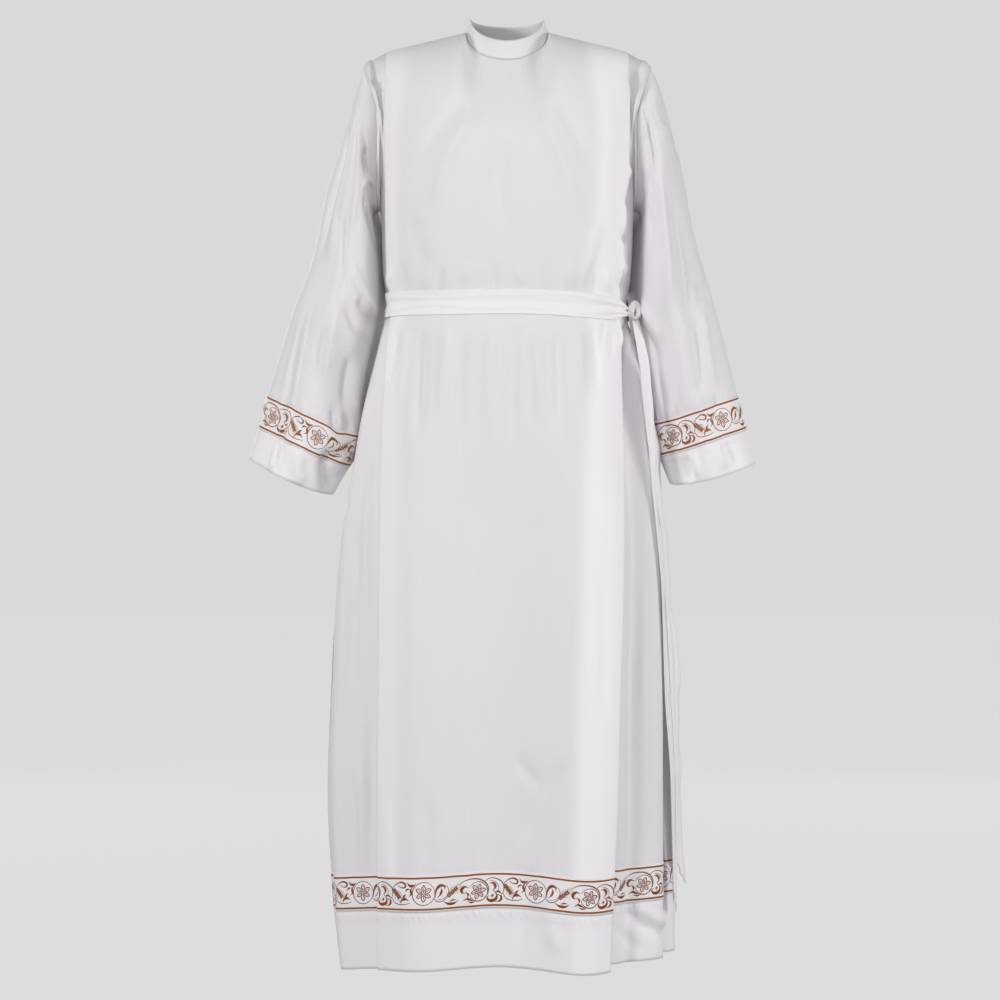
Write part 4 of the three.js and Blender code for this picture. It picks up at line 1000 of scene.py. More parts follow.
# Creases: how wide each is on its one side and on its other, how high, outwards above 0, and the line of
# points that it follows, given as rings and angles.
SLEEVE_CREASE_DEPTH = 3.0
SLEEVE_CREASES = {}
SLEEVE_CREASES[-1] = [
    (9, 8, -5.0, (1.4, 92), (2.0, 95), (1.4, 121)),
    (5, 4, 3.0, (3.0, 92), (2.2, 108), (1.2, 124), (0.1, 141)),
    (7, 9, -4.6, (2.1, 118), (2.9, 111), (3.0, 137), (3.6, 180)),
    (8, 8, 2.6, (0.8, 134), (0.0, 180), (3.0, 180)),
    (12, 12, 3.0, (1.6, 46), (3.1, 56), (5.4, 59)),
    (8, 9, -3.2, (2.1, 43), (3.4, 46), (5.2, 36)),
    (9, 8, 3.0, (1.6, 56), (2.6, 88), (4.2, 92)),
    (7, 7, -2.0, (3.4, 82), (4.5, 85), (5.9, 95)),
    (9, 7, 3.4, (4.5, 101), (4.9, 124), (5.2, 173)),
    (9, 11, -4.2, (5.1, 118), (5.4, 137), (5.6, 180)),
    (7, 7, -2.2, (5.4, 95), (5.9, 124), (6.4, 180)),
    (8, 9, -2.6, (5.5, 52), (6.6, 52), (8.5, 59), (10.4, 59)),
    (8, 6, 2.6, (5.6, 46), (6.8, 46), (8.8, 49), (11.0, 59)),
    (8, 8, 1.6, (5.4, 95), (6.6, 98), (7.8, 101)),
    (9, 8, -1.8, (5.8, 82), (7.1, 85), (8.4, 88)),
    (4, 6, -3.2, (8.1, 46), (9.0, 52), (10.2, 56), (11.0, 59), (12.2, 65), (13.0, 72)),
    (6, 7, 2.6, (10.8, 59), (12.0, 59), (13.0, 62)),
    (12, 20, -8.0, (10.2, 122), (11.6, 136), (13.2, 158)),
    (9, 9, 2.6, (10.8, 88), (12.2, 95), (13.0, 111)),
    (8, 8, 2.0, (10.6, 134), (11.8, 144), (12.8, 177)),
    (4, 4, -2.2, (8.4, 118), (8.8, 121), (9.2, 124)),
    (4, 4, 1.8, (8.4, 128), (8.6, 134), (9.0, 134)),
    (4, 4, -2.0, (8.4, 137), (8.8, 141), (9.2, 144)),
    (4, 4, 1.6, (8.4, 151), (8.8, 151), (9.2, 157)),
    (8, 8, -2.4, (6.5, 131), (7.6, 134), (8.4, 141)),
    (8, 8, 2.0, (6.6, 147), (7.8, 151), (8.5, 157)),
    (5, 5, 1.4, (8.6, 72), (8.9, 79), (9.4, 82)),
    (12, 10, -4.0, (2.0, 300), (3.6, 290), (5.6, 296)),
    (10, 12, 3.2, (2.6, 270), (4.2, 262), (6.4, 270)),
    (10, 10, -3.0, (4.0, 258), (5.4, 266), (7.4, 270)),
    (9, 9, 2.4, (5.6, 288), (7.0, 282), (8.6, 286)),
    (8, 8, -2.6, (10.8, 284), (11.8, 280), (12.8, 282)),
    (8, 8, 2.2, (10.8, 240), (11.8, 246), (12.8, 244)),
    (4, 4, -1.8, (8.5, 262), (8.9, 262), (9.2, 262)),
    (4, 4, 1.6, (8.5, 230), (8.9, 230), (9.2, 230)),
]
SLEEVE_CREASES[1] = [
    (7, 4, 3.4, (1.4, 62), (2.6, 65), (4.4, 0), (5.5, 29)),
    (8, 7, -2.4, (1.8, 52), (3.5, 23), (4.8, 10), (6.2, 3)),
    (7, 7, 2.4, (0.2, 62), (0.9, 82), (1.4, 98)),
    (6, 8, -2.4, (1.2, 69), (1.9, 85), (3.0, 92)),
    (9, 9, -2.2, (1.4, 98), (3.1, 111), (4.6, 124)),
    (10, 10, 2.4, (3.1, 82), (4.9, 85), (6.5, 95)),
    (9, 9, -2.2, (4.4, 59), (5.8, 59), (7.2, 79)),
    (6, 6, -2.6, (6.4, 49), (6.8, 36), (7.1, 16)),
    (6, 6, -2.0, (6.6, 7), (6.8, 36), (6.9, 56)),
    (9, 7, 3.2, (5.2, 164), (6.2, 137), (7.2, 121)),
    (8, 9, -3.0, (5.9, 160), (6.9, 141), (7.8, 131)),
    (9, 9, 2.2, (6.9, 46), (7.9, 56), (8.9, 59)),
    (8, 8, -2.2, (6.9, 69), (8.0, 75), (8.8, 85)),
    (8, 8, 2.0, (7.1, 95), (8.0, 101), (8.8, 118)),
    (6, 6, -2.8, (11.2, 124), (12.0, 124), (12.8, 124)),
    (6, 6, 2.4, (11.0, 115), (12.0, 111), (12.8, 115)),
    (9, 9, 2.0, (11.2, 75), (12.0, 75), (12.8, 75)),
    (8, 8, -2.2, (11.2, 56), (12.0, 56), (12.8, 52)),
    (7, 7, -2.0, (11.2, 144), (12.0, 147), (12.8, 151)),
    (4, 4, -1.8, (8.5, 147), (8.9, 147), (9.2, 147)),
    (4, 4, 1.6, (8.5, 134), (8.9, 134), (9.2, 134)),
    (4, 4, -1.6, (8.6, 121), (8.9, 121), (9.2, 121)),
    (4, 4, 1.4, (8.6, 88), (8.9, 88), (9.2, 88)),
    (4, 4, -1.6, (8.8, 62), (8.9, 62), (9.2, 62)),
    (12, 10, -4.0, (2.2, 296), (3.8, 286), (5.8, 290)),
    (10, 12, 3.0, (2.4, 262), (4.4, 256), (6.6, 266)),
    (10, 10, -3.0, (4.2, 256), (5.8, 264), (7.6, 268)),
    (9, 9, 2.6, (5.4, 292), (7.0, 300), (8.6, 296)),
    (8, 8, -2.4, (10.8, 270), (11.8, 266), (12.8, 268)),
    (8, 8, 2.0, (10.8, 312), (11.8, 308), (12.8, 310)),
    (4, 4, -1.8, (8.5, 286), (8.9, 286), (9.2, 286)),
    (4, 4, 1.6, (8.5, 244), (8.9, 244), (9.2, 244)),
]
CREASES_AT_SIDES = 0.35  # how high they are at a sleeve's outer and inner side, as a share
SLEEVE_RADIUS = 80  # by which the creases' angles are laid out
SLEEVE_DOWN = ((0, 9, 13), (0, 430, 545))  # how far some rings lie down the sleeve
GALLOON_RING, CUFF_RING = 9, 13
ROWS_TO_GALLOON, ROWS_TO_CUFF = 72, 20
SLEEVE_COLUMNS = 110
ARMHOLE_TO = 2.5  # the ring down to which the armhole's shape tells
OUT_UP = 0.4  # how much a sleeve's folds lift up, as a share of how much they lift out


def turned(degrees, middle):
    """An angle as seen from another, from -180 to 180."""
    return (degrees - middle + 540) % 360 - 180


def sleeve_grid(side):
    """A sleeve as rings of points from the armhole to the cuff's edge."""
    to_galloon = np.linspace(0, GALLOON_RING, ROWS_TO_GALLOON, endpoint=False)
    ring = np.concatenate([to_galloon, np.linspace(GALLOON_RING, CUFF_RING, ROWS_TO_CUFF + 1)])[:, None]
    degrees = (np.arange(SLEEVE_COLUMNS) * 360 / SLEEVE_COLUMNS)[None, :]
    rows = dict(SLEEVES[side], ring=np.arange(14.0))
    out_x, out_z, in_x, in_z, front, back, sag, tuck = (
        column(rows, "ring", ring, name) for name in SLEEVES[side]
    )
    angle = np.radians(degrees)
    along, ahead = np.cos(angle), np.sin(angle)
    half_x, half_z = (out_x - in_x) / 2, (out_z - in_z) / 2
    depth = np.where(ahead > 0, front, back)
    straight = (rows["outX"][0] * (1 + along) + rows["inX"][0] * (1 - along)) / 2
    to_seam = (armhole_point(degrees)[..., 0] - straight) * (1 - smooth(ring, 0, ARMHOLE_TO))
    points = np.stack([
        (out_x + in_x) / 2 + half_x * along + to_seam,
        -depth * ahead + 0 * ring,
        (out_z + in_z) / 2 + half_z * along - sag * np.maximum(ahead, 0),
    ], axis=-1)
    out = unit(np.stack([half_x * along, -depth * ahead, half_z * along * OUT_UP], axis=-1))
    for start, at, end, to, width, high, grow in SLEEVE_FOLDS[side]:
        across = turned(degrees, mix(at, to, np.clip((ring - start) / (end - start), 0, 1)))
        strength = smooth(ring, start, start + grow) * (1 - smooth(ring, end - grow, end))
        points += out * (high * strength * np.exp(-(across / width) ** 2))[..., None]
    girth = np.radians(1) * (np.hypot(half_x, half_z) + depth) / 2
    down = np.interp(ring, *SLEEVE_DOWN)
    less_at_sides = mix(CREASES_AT_SIDES, 1, np.abs(ahead))
    for width, other, high, *places in SLEEVE_CREASES[side]:
        middle = places[len(places) // 2][1]
        across = turned(degrees, middle) * girth
        path = [(turned(at, middle) * np.radians(1) * SLEEVE_RADIUS, np.interp(on_ring, *SLEEVE_DOWN))
                for on_ring, at in places]
        lift = crease(across, down + 0 * across, path, width, other, high) * less_at_sides
        points += out * SLEEVE_CREASE_DEPTH * lift[..., None]
    points[..., 0] += SEAM_GAP - tuck * np.exp(-((degrees - TUCK["angle"]) / TUCK["width"]) ** 2)
    points[..., 0] *= side
    return points[:, ::-side]


# The rows of a sleeve along the galloon's edges, the row from which the hem is doubled and how much that
# shows, and the rows of the gathers beside the galloon and how wide they are.
CUFF_GALLOON = (ROWS_TO_GALLOON, ROWS_TO_GALLOON + 10)
CUFF_DOUBLED = (81, 0.7)
CUFF_GATHERS = [(83, 1.4), (70.6, 1.3)]

sleeves = {side: sleeve_grid(side) for side in (-1, 1)}
for side, name in ((1, "sleeve_left"), (-1, "sleeve_right")):
    row = np.arange(len(sleeves[side]))[:, None]
    layers_and_highlight = np.where(row > CUFF_DOUBLED[0], CUFF_DOUBLED[1], 0.0)
    gathers = sum(np.exp(-((row - middle) / wide) ** 2) for middle, wide in CUFF_GATHERS)
    piece = cloth_piece(name, sleeves[side], WHITE_CLOTH, ring=True, layers_and_highlight=layers_and_highlight, gathers=gathers)
    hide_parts(name)

# ---- collar ----------------------------------------------------------------------------------------
# A low stand collar, a straight band of doubled cloth sewn round the neck, drawn in a little at its top.

COLLAR_CLOTH = 1.2
COLLAR_DOUBLED = 0.2
COLLAR_DRAWN_IN = 0.88
COLLAR_TOP = {"sideZ": 20, "frontZ": -26, "backZ": 16}

degrees = np.arange(0, 360, 4.0)[::-1]
foot, top = neck_point(degrees) + [0, 0, SEAM_GAP], neck_point(degrees, COLLAR_TOP, COLLAR_DRAWN_IN)
piece = cloth_piece("collar", mix(foot, top, np.linspace(1, 0, 9)[:, None, None]), WHITE_CLOTH,
                    thickness=COLLAR_CLOTH, ring=True, layers_and_highlight=COLLAR_DOUBLED)
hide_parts("collar")

# ---- galloon ---------------------------------------------------------------------------------------
# A woven ribbon with a brown line along either edge, sewn flat round the hem, on the front and on the back,
# and round each cuff. Between the lines a vine of flowers, leaves and ears of wheat is embroidered in brown.

GALLOON = 0.5  # its thickness
RIBBON_CLEAR = 0.12  # between it and the cloth
LINE_FROM_MIDDLE = 24  # from the ribbon's middle to each brown line
LINE_WIDTH = 2.9
LINE_BROWN = (0.30, 0.082, 0.004)
STITCH_FROM_EDGE = 1.6
STITCH_LENGTH = 1.3
STITCH_THICK = 0.3
STITCH_COLOUR = (0.70, 0.68, 0.67)
GALLOON_THREADS = 1300  # in a metre
GALLOON_FINISH = {"Roughness": 0.6, "Specular IOR Level": 0.15, "Sheen Weight": 0, "Sheen Roughness": 0.4}
THREAD_FINISH = {"Roughness": 0.6, "Specular IOR Level": 0.2}


def grid_normals(grid, ring=False):
    if ring:
        across = np.roll(grid, -1, axis=1) - np.roll(grid, 1, axis=1)
    else:
        across = np.gradient(grid, axis=1)
    return unit(np.cross(np.gradient(grid, axis=0), across))


def galloon_look():
    """White ribbed ribbon, brighter than the cloth, with a brown line and a row of stitches at each edge."""
    look = cloth_look("white_galloon", (0.86, 0.83, 0.85), (0.83, 0.80, 0.82), (0.88, 0.86, 0.87),
                      GALLOON_THREADS, GALLOON_FINISH)
    tree = look.node_tree
    colour = tree.nodes["Principled BSDF"].inputs["Base Color"]
    split = add_node(tree, "SeparateXYZ", {0: cut_map(tree)})

    def away(value, middle):
        return maths(tree, "ABSOLUTE", maths(tree, "SUBTRACT", value, middle * MM))

    from_middle = away(split.outputs["Y"], GALLOON_WIDTH / 2)
    line = maths(tree, "LESS_THAN", away(from_middle, LINE_FROM_MIDDLE), LINE_WIDTH * MM / 2)
    to_stitches = away(from_middle, GALLOON_WIDTH / 2 - STITCH_FROM_EDGE)
    run = maths(tree, "PINGPONG", split.outputs["X"], STITCH_LENGTH * MM)
    stitch = maths(tree, "MULTIPLY", maths(tree, "LESS_THAN", to_stitches, STITCH_THICK * MM),
                   maths(tree, "GREATER_THAN", run, STITCH_THICK * MM))
    lined = mixed(tree, colour.links[0].from_socket, LINE_BROWN, line)
    tree.links.new(mixed(tree, lined, STITCH_COLOUR, stitch), colour)
    return look


def twist_group():
    """Twisted thread: the height of its strands, and how much dye it has taken."""
    tree, into, out = new_group("twisted thread", ["Strands", "Dye patches"], ["Height", "Dye"])
    place = add_node(tree, "TexCoord", {}).outputs["Object"]
    strands = {"Vector": place, "Scale": into.outputs["Strands"]}
    patches = {"Vector": place, "Scale": into.outputs["Dye patches"]}
    feed(tree, out, {
        "Height": add_node(tree, "TexWave", strands, bands_direction="DIAGONAL").outputs["Fac"],
        "Dye": add_node(tree, "TexNoise", patches).outputs["Fac"],
    })
    return tree


def thread_look(name, dark, light):
    """Twisted thread, unevenly dyed."""
    look, tree, shader = new_look(name, THREAD_FINISH)
    twist = add_node(tree, "Group", {"Strands": 420, "Dye patches": 160}, node_tree=TWIST)
    colour = mixed(tree, dark, light, twist.outputs["Dye"])
    twisted = add_node(tree, "Bump", {"Height": twist.outputs["Height"], "Strength": 0.4, "Distance": 0.0001})
    feed(tree, shader, {"Base Color": colour, "Normal": twisted.outputs["Normal"]})
    return look


TWIST = twist_group()
GALLOON_LOOK = galloon_look()
HEM_THREAD = thread_look("brown_thread", (0.17, 0.040, 0.004), (0.30, 0.085, 0.008))
CUFF_THREAD = thread_look("copper_thread", (0.18, 0.052, 0.005), (0.42, 0.15, 0.02))

# One repeat of the embroidery: each line of stitches by its width at the start, in the middle and at the end,
# and its points, along the ribbon and up from its middle.
REPEAT = 175
VINE = [
    (0.9, 1.3, 0.9, [(38, -8), (44, -13), (52, -12), (59, -7)]),
    (0.7, 0.9, 0.6, [(51, 11), (58, 10), (61, 3), (58, -5), (51, -9), (43, -10)]),
    (0.8, 4.2, 0.7, [(40, -7), (41, 2), (44, 9), (50, 12), (55, 9), (54, 5)]),
    (0.7, 3.2, 0.6, [(43, -7), (48, -2), (50, 4), (49, 8)]),
    (0.8, 4.0, 0.6, [(53, -13), (60, -17), (69, -17), (76, -13)]),
    (0.7, 2.4, 0.5, [(62, -14), (67, -12), (73, -12)]),
    (0.9, 2.0, 1.0, [(77, 9), (84, 15), (95, 18), (108, 17), (118, 12), (123, 4), (122, -6), (116, -13)]),
    (0.8, 4.6, 0.8, [(92, 5), (86, 7), (81, 3), (82, -2), (87, -3)]),
    (0.7, 3.0, 0.6, [(87, -1), (91, -5), (90, -10)]),
    (0.8, 3.4, 0.6, [(83, -15), (89, -12), (95, -14), (100, -17)]),
    (0.7, 2.2, 0.5, [(90, -16), (96, -18), (103, -17)]),
    (0.9, 1.6, 0.8, [(117, 13), (127, 18), (138, 16), (146, 9), (147, -1), (143, -9)]),
    (0.7, 0.9, 0.6, [(126, 14), (134, 12), (139, 5), (138, -3)]),
    (0.8, 4.2, 0.7, [(125, 10), (131, 10), (134, 4), (130, -2)]),
    (0.8, 4.6, 0.8, [(131, -2), (136, -8), (134, -15), (126, -17), (121, -13), (124, -9)]),
    (0.7, 3.4, 0.6, [(137, -7), (143, -11), (141, -17), (134, -19)]),
    (0.7, 3.0, 0.6, [(133, -4), (139, -3), (144, -7)]),
    (0.7, 2.6, 0.5, [(127, -11), (130, -8), (129, -13)]),
    (0.9, 2.6, 0.8, [(147, 9), (153, 15), (161, 18), (168, 15), (167, 10), (161, 10), (156, 13)]),
    (0.9, 1.3, 0.8, [(146, -6), (150, -13), (158, -16), (167, -16), (176, -14)]),
    (0.8, 4.0, 0.6, [(160, -15), (163, -9), (169, -8), (174, -11)]),
    (0.7, 3.2, 0.6, [(166, -10), (166, -4), (170, 0)]),
    (0.8, 3.8, 0.6, [(171, 18), (175, 13), (181, 13), (185, 16)]),
    (0.7, 3.4, 0.6, [(181, 12), (177, 6), (178, 0), (174, -4)]),
    (0.7, 2.6, 0.5, [(176, 8), (171, 7), (168, 3)]),
]
RINGS = [(22, 0, 17.5, 15, 378), (107, -2, 15, -125, 150), (107, -3, 13.4, 190, 300)]
FLOWERS = [(22, 0.5, 13.2, 90), (107, -1.5, 12.2, 72)]
EARS = [(58, -7, 76, 8), (147, 9, 160, -8)]
THREAD_RISE = 0.22
THREAD_FOOT = 0.02  # how far the edges of a line of stitches stand above the ribbon
FULLNESS = 1.12  # how much the twisted thread spreads each line of stitches
FROM_RIBBON_END = 1.5


def flower_lines(x, y, size, turn):
    """A flower of six pointed petals, each outlined and veined, round a small ring."""
    outline = [(0.2, 0), (0.42, 0.19), (0.66, 0.25), (0.84, 0.14), (1, 0)]
    outline += [(out, -aside) for out, aside in outline[-2::-1]]
    vein = [(0.26, 0), (0.5, 0.03), (0.74, 0)]
    lines = []
    for petal in range(6):
        at = math.radians(turn + 60 * petal)
        reach = size * (1.0 if petal % 2 else 0.92)
        for *widths, points in ((0.9, 1.7, 0.9, outline), (0.6, 1.2, 0.5, vein)):
            lines.append((*widths, [(x + reach * (out * math.cos(at) - aside * math.sin(at)),
                                     y + reach * (out * math.sin(at) + aside * math.cos(at)))
                                    for out, aside in points]))
    middle = np.radians(np.linspace(0, 360, 11))
    lines.append((0.9, 0.9, 0.9, list(zip(x + 1.5 * np.cos(middle), y + 1.5 * np.sin(middle)))))
    return lines


def ear_lines(x, y, to_x, to_y):
    """An ear of wheat: pairs of grains along a stalk, and fine bristles that spread beyond them."""
    along = np.array([to_x - x, to_y - y])
    length = np.hypot(*along)
    along = along / length
    aside = np.array([-along[1], along[0]])
    lines = [(0.6, 0.8, 0.5, [(x, y), (to_x, to_y)])]
    for k in range(6):
        for way in (-1, 1):
            foot = np.array([x, y]) + along * length * (0.08 + 0.14 * k)
            tip = foot + along * 3.4 + aside * way * (2.5 - 0.16 * k)
            bend = (foot + tip) / 2 + aside * way * 0.7
            lines.append((0.8, 2.7, 0.6, [foot, bend, tip]))
            if k % 2 or way > 0:
                end = tip + along * (9.5 - 0.5 * k) + aside * way * (4.6 - 0.6 * k)
                lines.append((0.5, 0.5, 0.35, [tip, end]))
    return lines


def embroidery_lines():
    lines = list(VINE)
    for x, y, radius, start, end in RINGS:
        angle = np.radians(np.linspace(start, end, 34))
        lines.append((0.8, 1.3, 0.8, list(zip(x + radius * np.cos(angle), y + radius * np.sin(angle)))))
    for flower in FLOWERS:
        lines += flower_lines(*flower)
    for ear in EARS:
        lines += ear_lines(*ear)
    return lines


def embroidery(name, rows, normals, first, thread):
    """The repeats of the embroidery along a ribbon: raised lines of stitches that lie on its surface."""
    lengths = running_length(rows[len(rows) // 2])
    bm = bmesh.new()

    def on_ribbon(along, up, rise):
        place = np.clip(np.interp(along, lengths, np.arange(len(lengths))), 0, len(lengths) - 1.001)
        row = (0.5 - up / GALLOON_WIDTH) * (len(rows) - 1)
        return in_grid(rows, row, place) + in_grid(normals, row, place) * (GALLOON / 2 + rise)

    for repeat in np.arange(first, lengths[-1], REPEAT):
        for start, middle, end, points in embroidery_lines():
            line = np.array(points, dtype=float) if len(points) > 8 else line_through(points, steps=5)
            share = np.linspace(0, 1, len(line))
            opening = mix(start, middle, smooth(share, 0, 0.5))
            width = np.where(share < 0.5, opening, mix(middle, end, smooth(share, 0.5, 1)))
            run = np.gradient(line, axis=0)
            aside = np.stack([-run[:, 1], run[:, 0]], axis=1) / np.maximum(np.hypot(*run.T), 1e-6)[:, None]
            line[:, 0] += repeat
            from_end = np.minimum(line[:, 0], lengths[-1] - line[:, 0])
            keep = np.flatnonzero(from_end > FROM_RIBBON_END)
            if len(keep) < 2 or np.ptp(keep) != len(keep) - 1:
                continue
            line, reach = line[keep], (aside * (FULLNESS * width / 2)[:, None])[keep]
            edges = ((-1, THREAD_FOOT), (0, THREAD_RISE), (1, THREAD_FOOT))
            lay_grid(bm, np.array([on_ribbon(*(line + side * reach).T, rise) for side, rise in edges]))
    mesh = bpy.data.meshes.new(name)
    bm.to_mesh(mesh)
    bm.free()
    piece = finished_piece(name, mesh, thread)
    return piece


def ribbon_rows(grid, normals, top, bottom):
    """The cloth under a ribbon, resampled to the ribbon's own width about the middle of two of its rows."""
    lengths = running_length(grid)
    middle = (lengths[top] + lengths[bottom]) / 2
    across = np.linspace(-GALLOON_WIDTH / 2, GALLOON_WIDTH / 2, 13)

    def resampled(field):
        return np.stack([
            np.stack([np.interp(at + across, line, values) for values in strip.T], axis=-1)
            for at, line, strip in zip(middle, lengths.T, field.transpose(1, 0, 2))
        ], axis=1)

    return resampled(grid), unit(resampled(normals))


HEM_GALLOON = (first_row("galloon top"), first_row("galloon bottom"))
RIBBONS = [
    ("hem_band_front", panels["front"], *HEM_GALLOON, False, (0.88, 0.058), -64, HEM_THREAD),
    ("hem_band_back", panels["back"][:, ::-1], *HEM_GALLOON, False, (0.90, 0.058), -110, HEM_THREAD),
    ("cuff_band_left", sleeves[1], *CUFF_GALLOON, True, (0.43, 0.058), -20, CUFF_THREAD),
    ("cuff_band_right", sleeves[-1], *CUFF_GALLOON, True, (0.47, 0.058), -60, CUFF_THREAD),
]
for name, grid, top, bottom, ring, flat, start, thread in RIBBONS:
    rows, normals = ribbon_rows(grid, grid_normals(grid, ring), top, bottom)
    rows = rows + normals * (CLOTH / 2 + GALLOON / 2 + RIBBON_CLEAR)
    piece = cloth_piece(name, rows, GALLOON_LOOK, thickness=GALLOON, ring=ring)
    sewn_on = embroidery(name + "_embroidery", rows, normals, start, thread)
    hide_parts(name)

# ---- sash ------------------------------------------------------------------------------------------
# A sash of the alb's own cloth, folded along its length, goes once round the waist and is knotted at the
# wearer's left. Its two ends hang free to the galloon.

SASH_CLOTH = 1.4
SASH_DOUBLED = 0.8
SASH_LIFT = 1.9  # from the middle of the body's cloth to the middle of the sash
SASH_STANDS_OFF = 3  # how much farther it stands off at the knot
SASH_PINCH = 0.4  # how much of its height is left at the knot
PINCH_REACH = 60
FOLDS_FROM_KNOT = (10, 132)  # where the folds begin to flatten and are flattest
FOLD_HEIGHT = (0.45, 1.6)  # how high they are at their flattest and at the knot
# Folds along the sash: where each runs across it, how wide and how high it is, and how far it wanders.
SASH_FOLDS = [
    (-0.55, 0.16, 1.5, -0.25), (-0.1, 0.2, -1.6, 0.06), (0.42, 0.15, 1.4, 0.3), (0.75, 0.12, -1.0, 0.5),
]
# Waves: how high, how long and from where.
SASH_WANDER = [(0.5, 61, 0), (0.3, 23, 1)]
SASH_EDGE_WAVE = [(0.5, 37, 2)]


def waves(along, rows):
    return sum(high * np.sin(along / length + start) for high, length, start in rows)


def waist_sash_rows():
    """The sash round the waist, from the knot over the back and the front to the knot again, with soft folds
    that draw together at the knot."""
    knot = SASH["knotPlace"]
    runs = [
        ("front", np.linspace(knot, 2, 24, endpoint=False)),
        ("back", np.linspace(2, -2, 150)),
        ("front", np.linspace(-2, knot, 150)[1:]),
    ]
    middles = [body_form(half, place, level_of(half, place, sash_down(half, place))) for half, place in runs]
    lengths = running_length(np.concatenate(middles))
    share = np.linspace(-1, 1, 25)[:, None]
    grids, done = [], 0
    for half, place in runs:
        along = lengths[done:done + len(place)]
        done += len(place)
        from_knot = np.minimum(along, lengths[-1] - along)
        opened = smooth(from_knot, 0, PINCH_REACH)
        drawn = 1 - smooth(from_knot, *FOLDS_FROM_KNOT)
        edges = share * SASH["height"] / 2 * mix(SASH_PINCH, 1, opened)
        level = level_of(half, place, sash_down(half, place) + edges + waves(along, SASH_EDGE_WAVE) * opened)
        wander = waves(along, SASH_WANDER) * opened
        folds = sum(high * np.exp(-((share - at - sway * wander) / wide) ** 2)
                    for at, wide, high, sway in SASH_FOLDS)
        folds = folds * mix(*FOLD_HEIGHT, drawn) * (1 - share ** 8)
        out = SASH_LIFT + SASH_STANDS_OFF * (1 - opened) + folds
        where = place + 0 * level
        grids.append(body_form(half, where, level) + body_out(half, where, level) * out[..., None])
    return np.concatenate(grids, axis=1)


rows = waist_sash_rows()[:, ::-1]
piece = cloth_piece("sash", rows, WHITE_CLOTH, thickness=SASH_CLOTH, layers_and_highlight=SASH_DOUBLED)
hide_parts("sash")

# The hanging ends: the length of each, its folds, given as the sash's are, and the route of its middle line
# with the way it faces in degrees and its width.
SASH_ENDS = {
    "sash_end_front": (0.93, [(-0.12, 0.07, -2.4, 0.10), (0.22, 0.12, 1.6, 0.05)],
                       table("x y z turn width", [
        (201.4, -40.8, -464.6, 46, 11),
        (205.5, -53, -483, 40, 14),
        (209.5, -64, -500, 42, 19),
        (217, -70, -545, 50, 24),
        (223, -70, -600, 60, 28),
        (227.5, -68, -660, 68, 32),
        (231.5, -66, -730, 78, 34),
        (238.5, -64, -800, 78, 35),
        (244.5, -62, -880, 82, 36),
        (252, -62, -1060, 78, 36),
        (260, -62, -1180, 80, 36),
        (264, -62, -1362, 82, 36),
    ])),
    "sash_end_back": (0.88, [(0.05, 0.08, -2.0, 0.12), (-0.3, 0.12, 1.4, 0.06)],
                      table("x y z turn width", [
        (206.6, -38.6, -463.6, 64, 8),
        (212, -38, -483, 72, 11),
        (215, -41, -500, 75, 15),
        (219, -42, -545, 75, 18),
        (226, -42, -600, 74, 24),
        (234.5, -38, -660, 70, 30),
        (240, -30, -730, 68, 34),
        (248.5, -28, -800, 72, 35),
        (254, -26, -880, 73, 36),
        (263, -26, -980, 62, 36),
        (267, -26, -1060, 63, 36),
        (270, -26, -1180, 74, 36),
        (275.5, -26, -1322, 64, 36),
    ])),
}
SASH_END_SLANT = (38, 60)  # how much lower one corner of the foot hangs, and over what height it slants
SASH_END_WAVES = [(1.5, 27, 2), (0.9, 11.5, 0)]
FREED = (30, 160)  # how far below the knot the folds and waves begin and are full
SWAY_LENGTH = 73


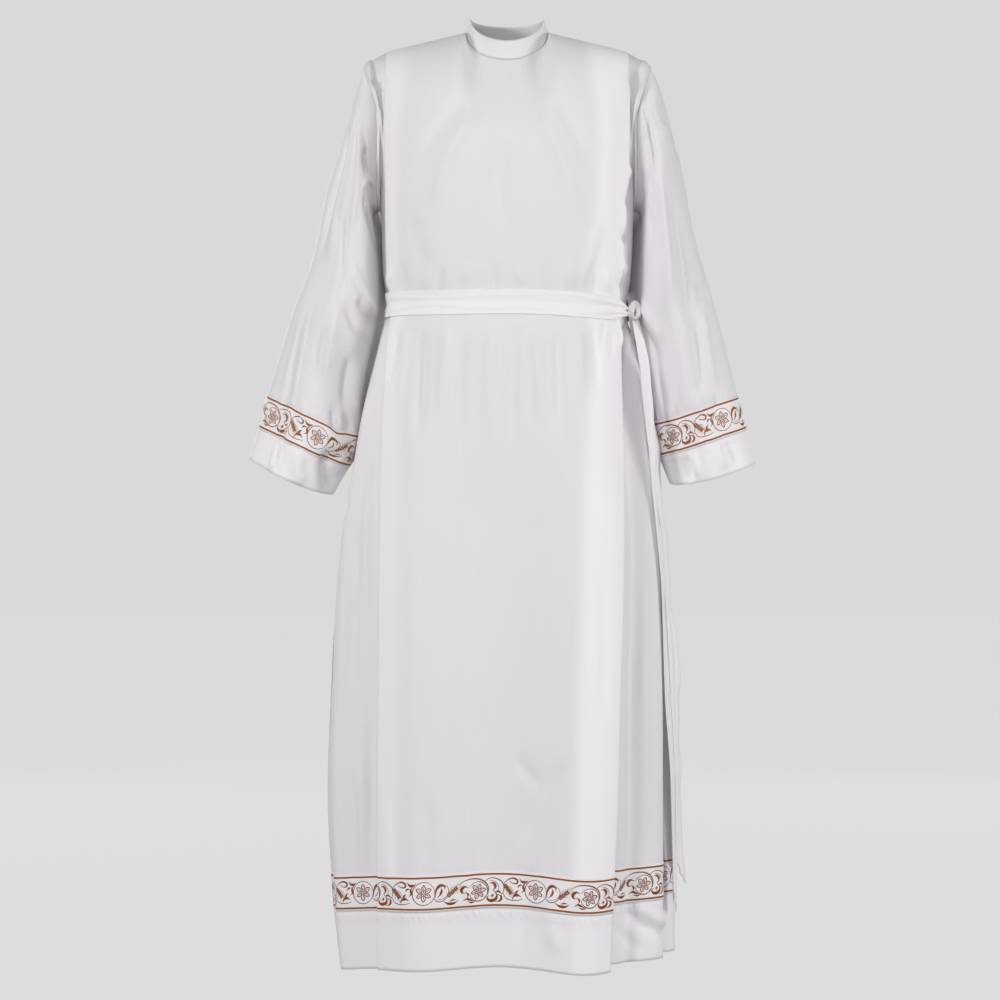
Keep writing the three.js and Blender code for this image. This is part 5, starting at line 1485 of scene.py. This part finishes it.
def sash_end_rows(route, folds):
    """A hanging end, creased along its length and a little wavy, cut slantwise at its foot."""
    rows = dict(route, down=-route["z"])
    down = np.linspace(rows["down"][0], rows["down"][-1], 230)[:, None]
    x, y, turn, width = (column(rows, "down", down, name) for name in ("x", "y", "turn", "width"))
    offset = np.linspace(-0.5, 0.5, 23)[None, :]
    angle = np.radians(turn)
    freed = smooth(down - down[0], *FREED)
    rise = sum(high * np.exp(-((offset - place - sway * np.sin(down / SWAY_LENGTH + 9 * wide)) / wide) ** 2)
               for place, wide, high, sway in folds)
    rise = rise * mix(0.4, 1, freed) + waves(down, SASH_END_WAVES) * (offset + 0.5) ** 2 * freed
    lower, over = SASH_END_SLANT
    drop = lower * (offset + 0.5) * smooth(down, down[-1] - over, down[-1])
    return np.stack([
        x + offset * width * np.cos(angle) + rise * np.sin(angle),
        y + offset * width * np.sin(angle) - rise * np.cos(angle),
        -down - drop,
    ], axis=-1)


for name, (length, folds, route) in SASH_ENDS.items():
    rows = sash_end_rows(route, folds)
    piece = cloth_piece(name, rows, WHITE_CLOTH, thickness=SASH_CLOTH, layers_and_highlight=SASH_DOUBLED)
    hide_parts(name)

KNOT = {"place": (201.6, -39, -450), "acrossX": 6, "acrossZ": 11.5, "thick": 3.9, "turn": 24}


def knot_rows():
    """The knot: a loop of the gathered sash drawn tight, folded along its length, thicker where it turns."""
    angle = np.linspace(0, 2 * np.pi, 73)[:-1][:, None]
    roll = np.linspace(0, 2 * np.pi, 37)[:-1][None, :]
    thick = KNOT["thick"] * (1.18 + 0.2 * np.sin(angle + 0.5) + 0.12 * np.cos(2 * angle))
    folded = thick * (1 + 0.13 * np.cos(3 * roll + 1.3 * np.sin(angle)) + 0.07 * np.cos(5 * roll - 2 * angle))
    x = (KNOT["acrossX"] + folded * np.cos(roll)) * np.cos(angle)
    z = (KNOT["acrossZ"] + folded * np.cos(roll)) * np.sin(angle)
    y = 1.4 * folded * np.sin(roll) + 1.6 * np.sin(2 * angle)
    turn = math.radians(KNOT["turn"])
    points = [x * math.cos(turn) - y * math.sin(turn), x * math.sin(turn) + y * math.cos(turn), z]
    points = np.stack(points, axis=-1) + KNOT["place"]
    return np.concatenate([points, points[:1]])


rows = knot_rows()[:, ::-1]
piece = cloth_piece("sash_knot", rows, WHITE_CLOTH, thickness=0, ring=True, layers_and_highlight=SASH_DOUBLED)
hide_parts("sash_knot")
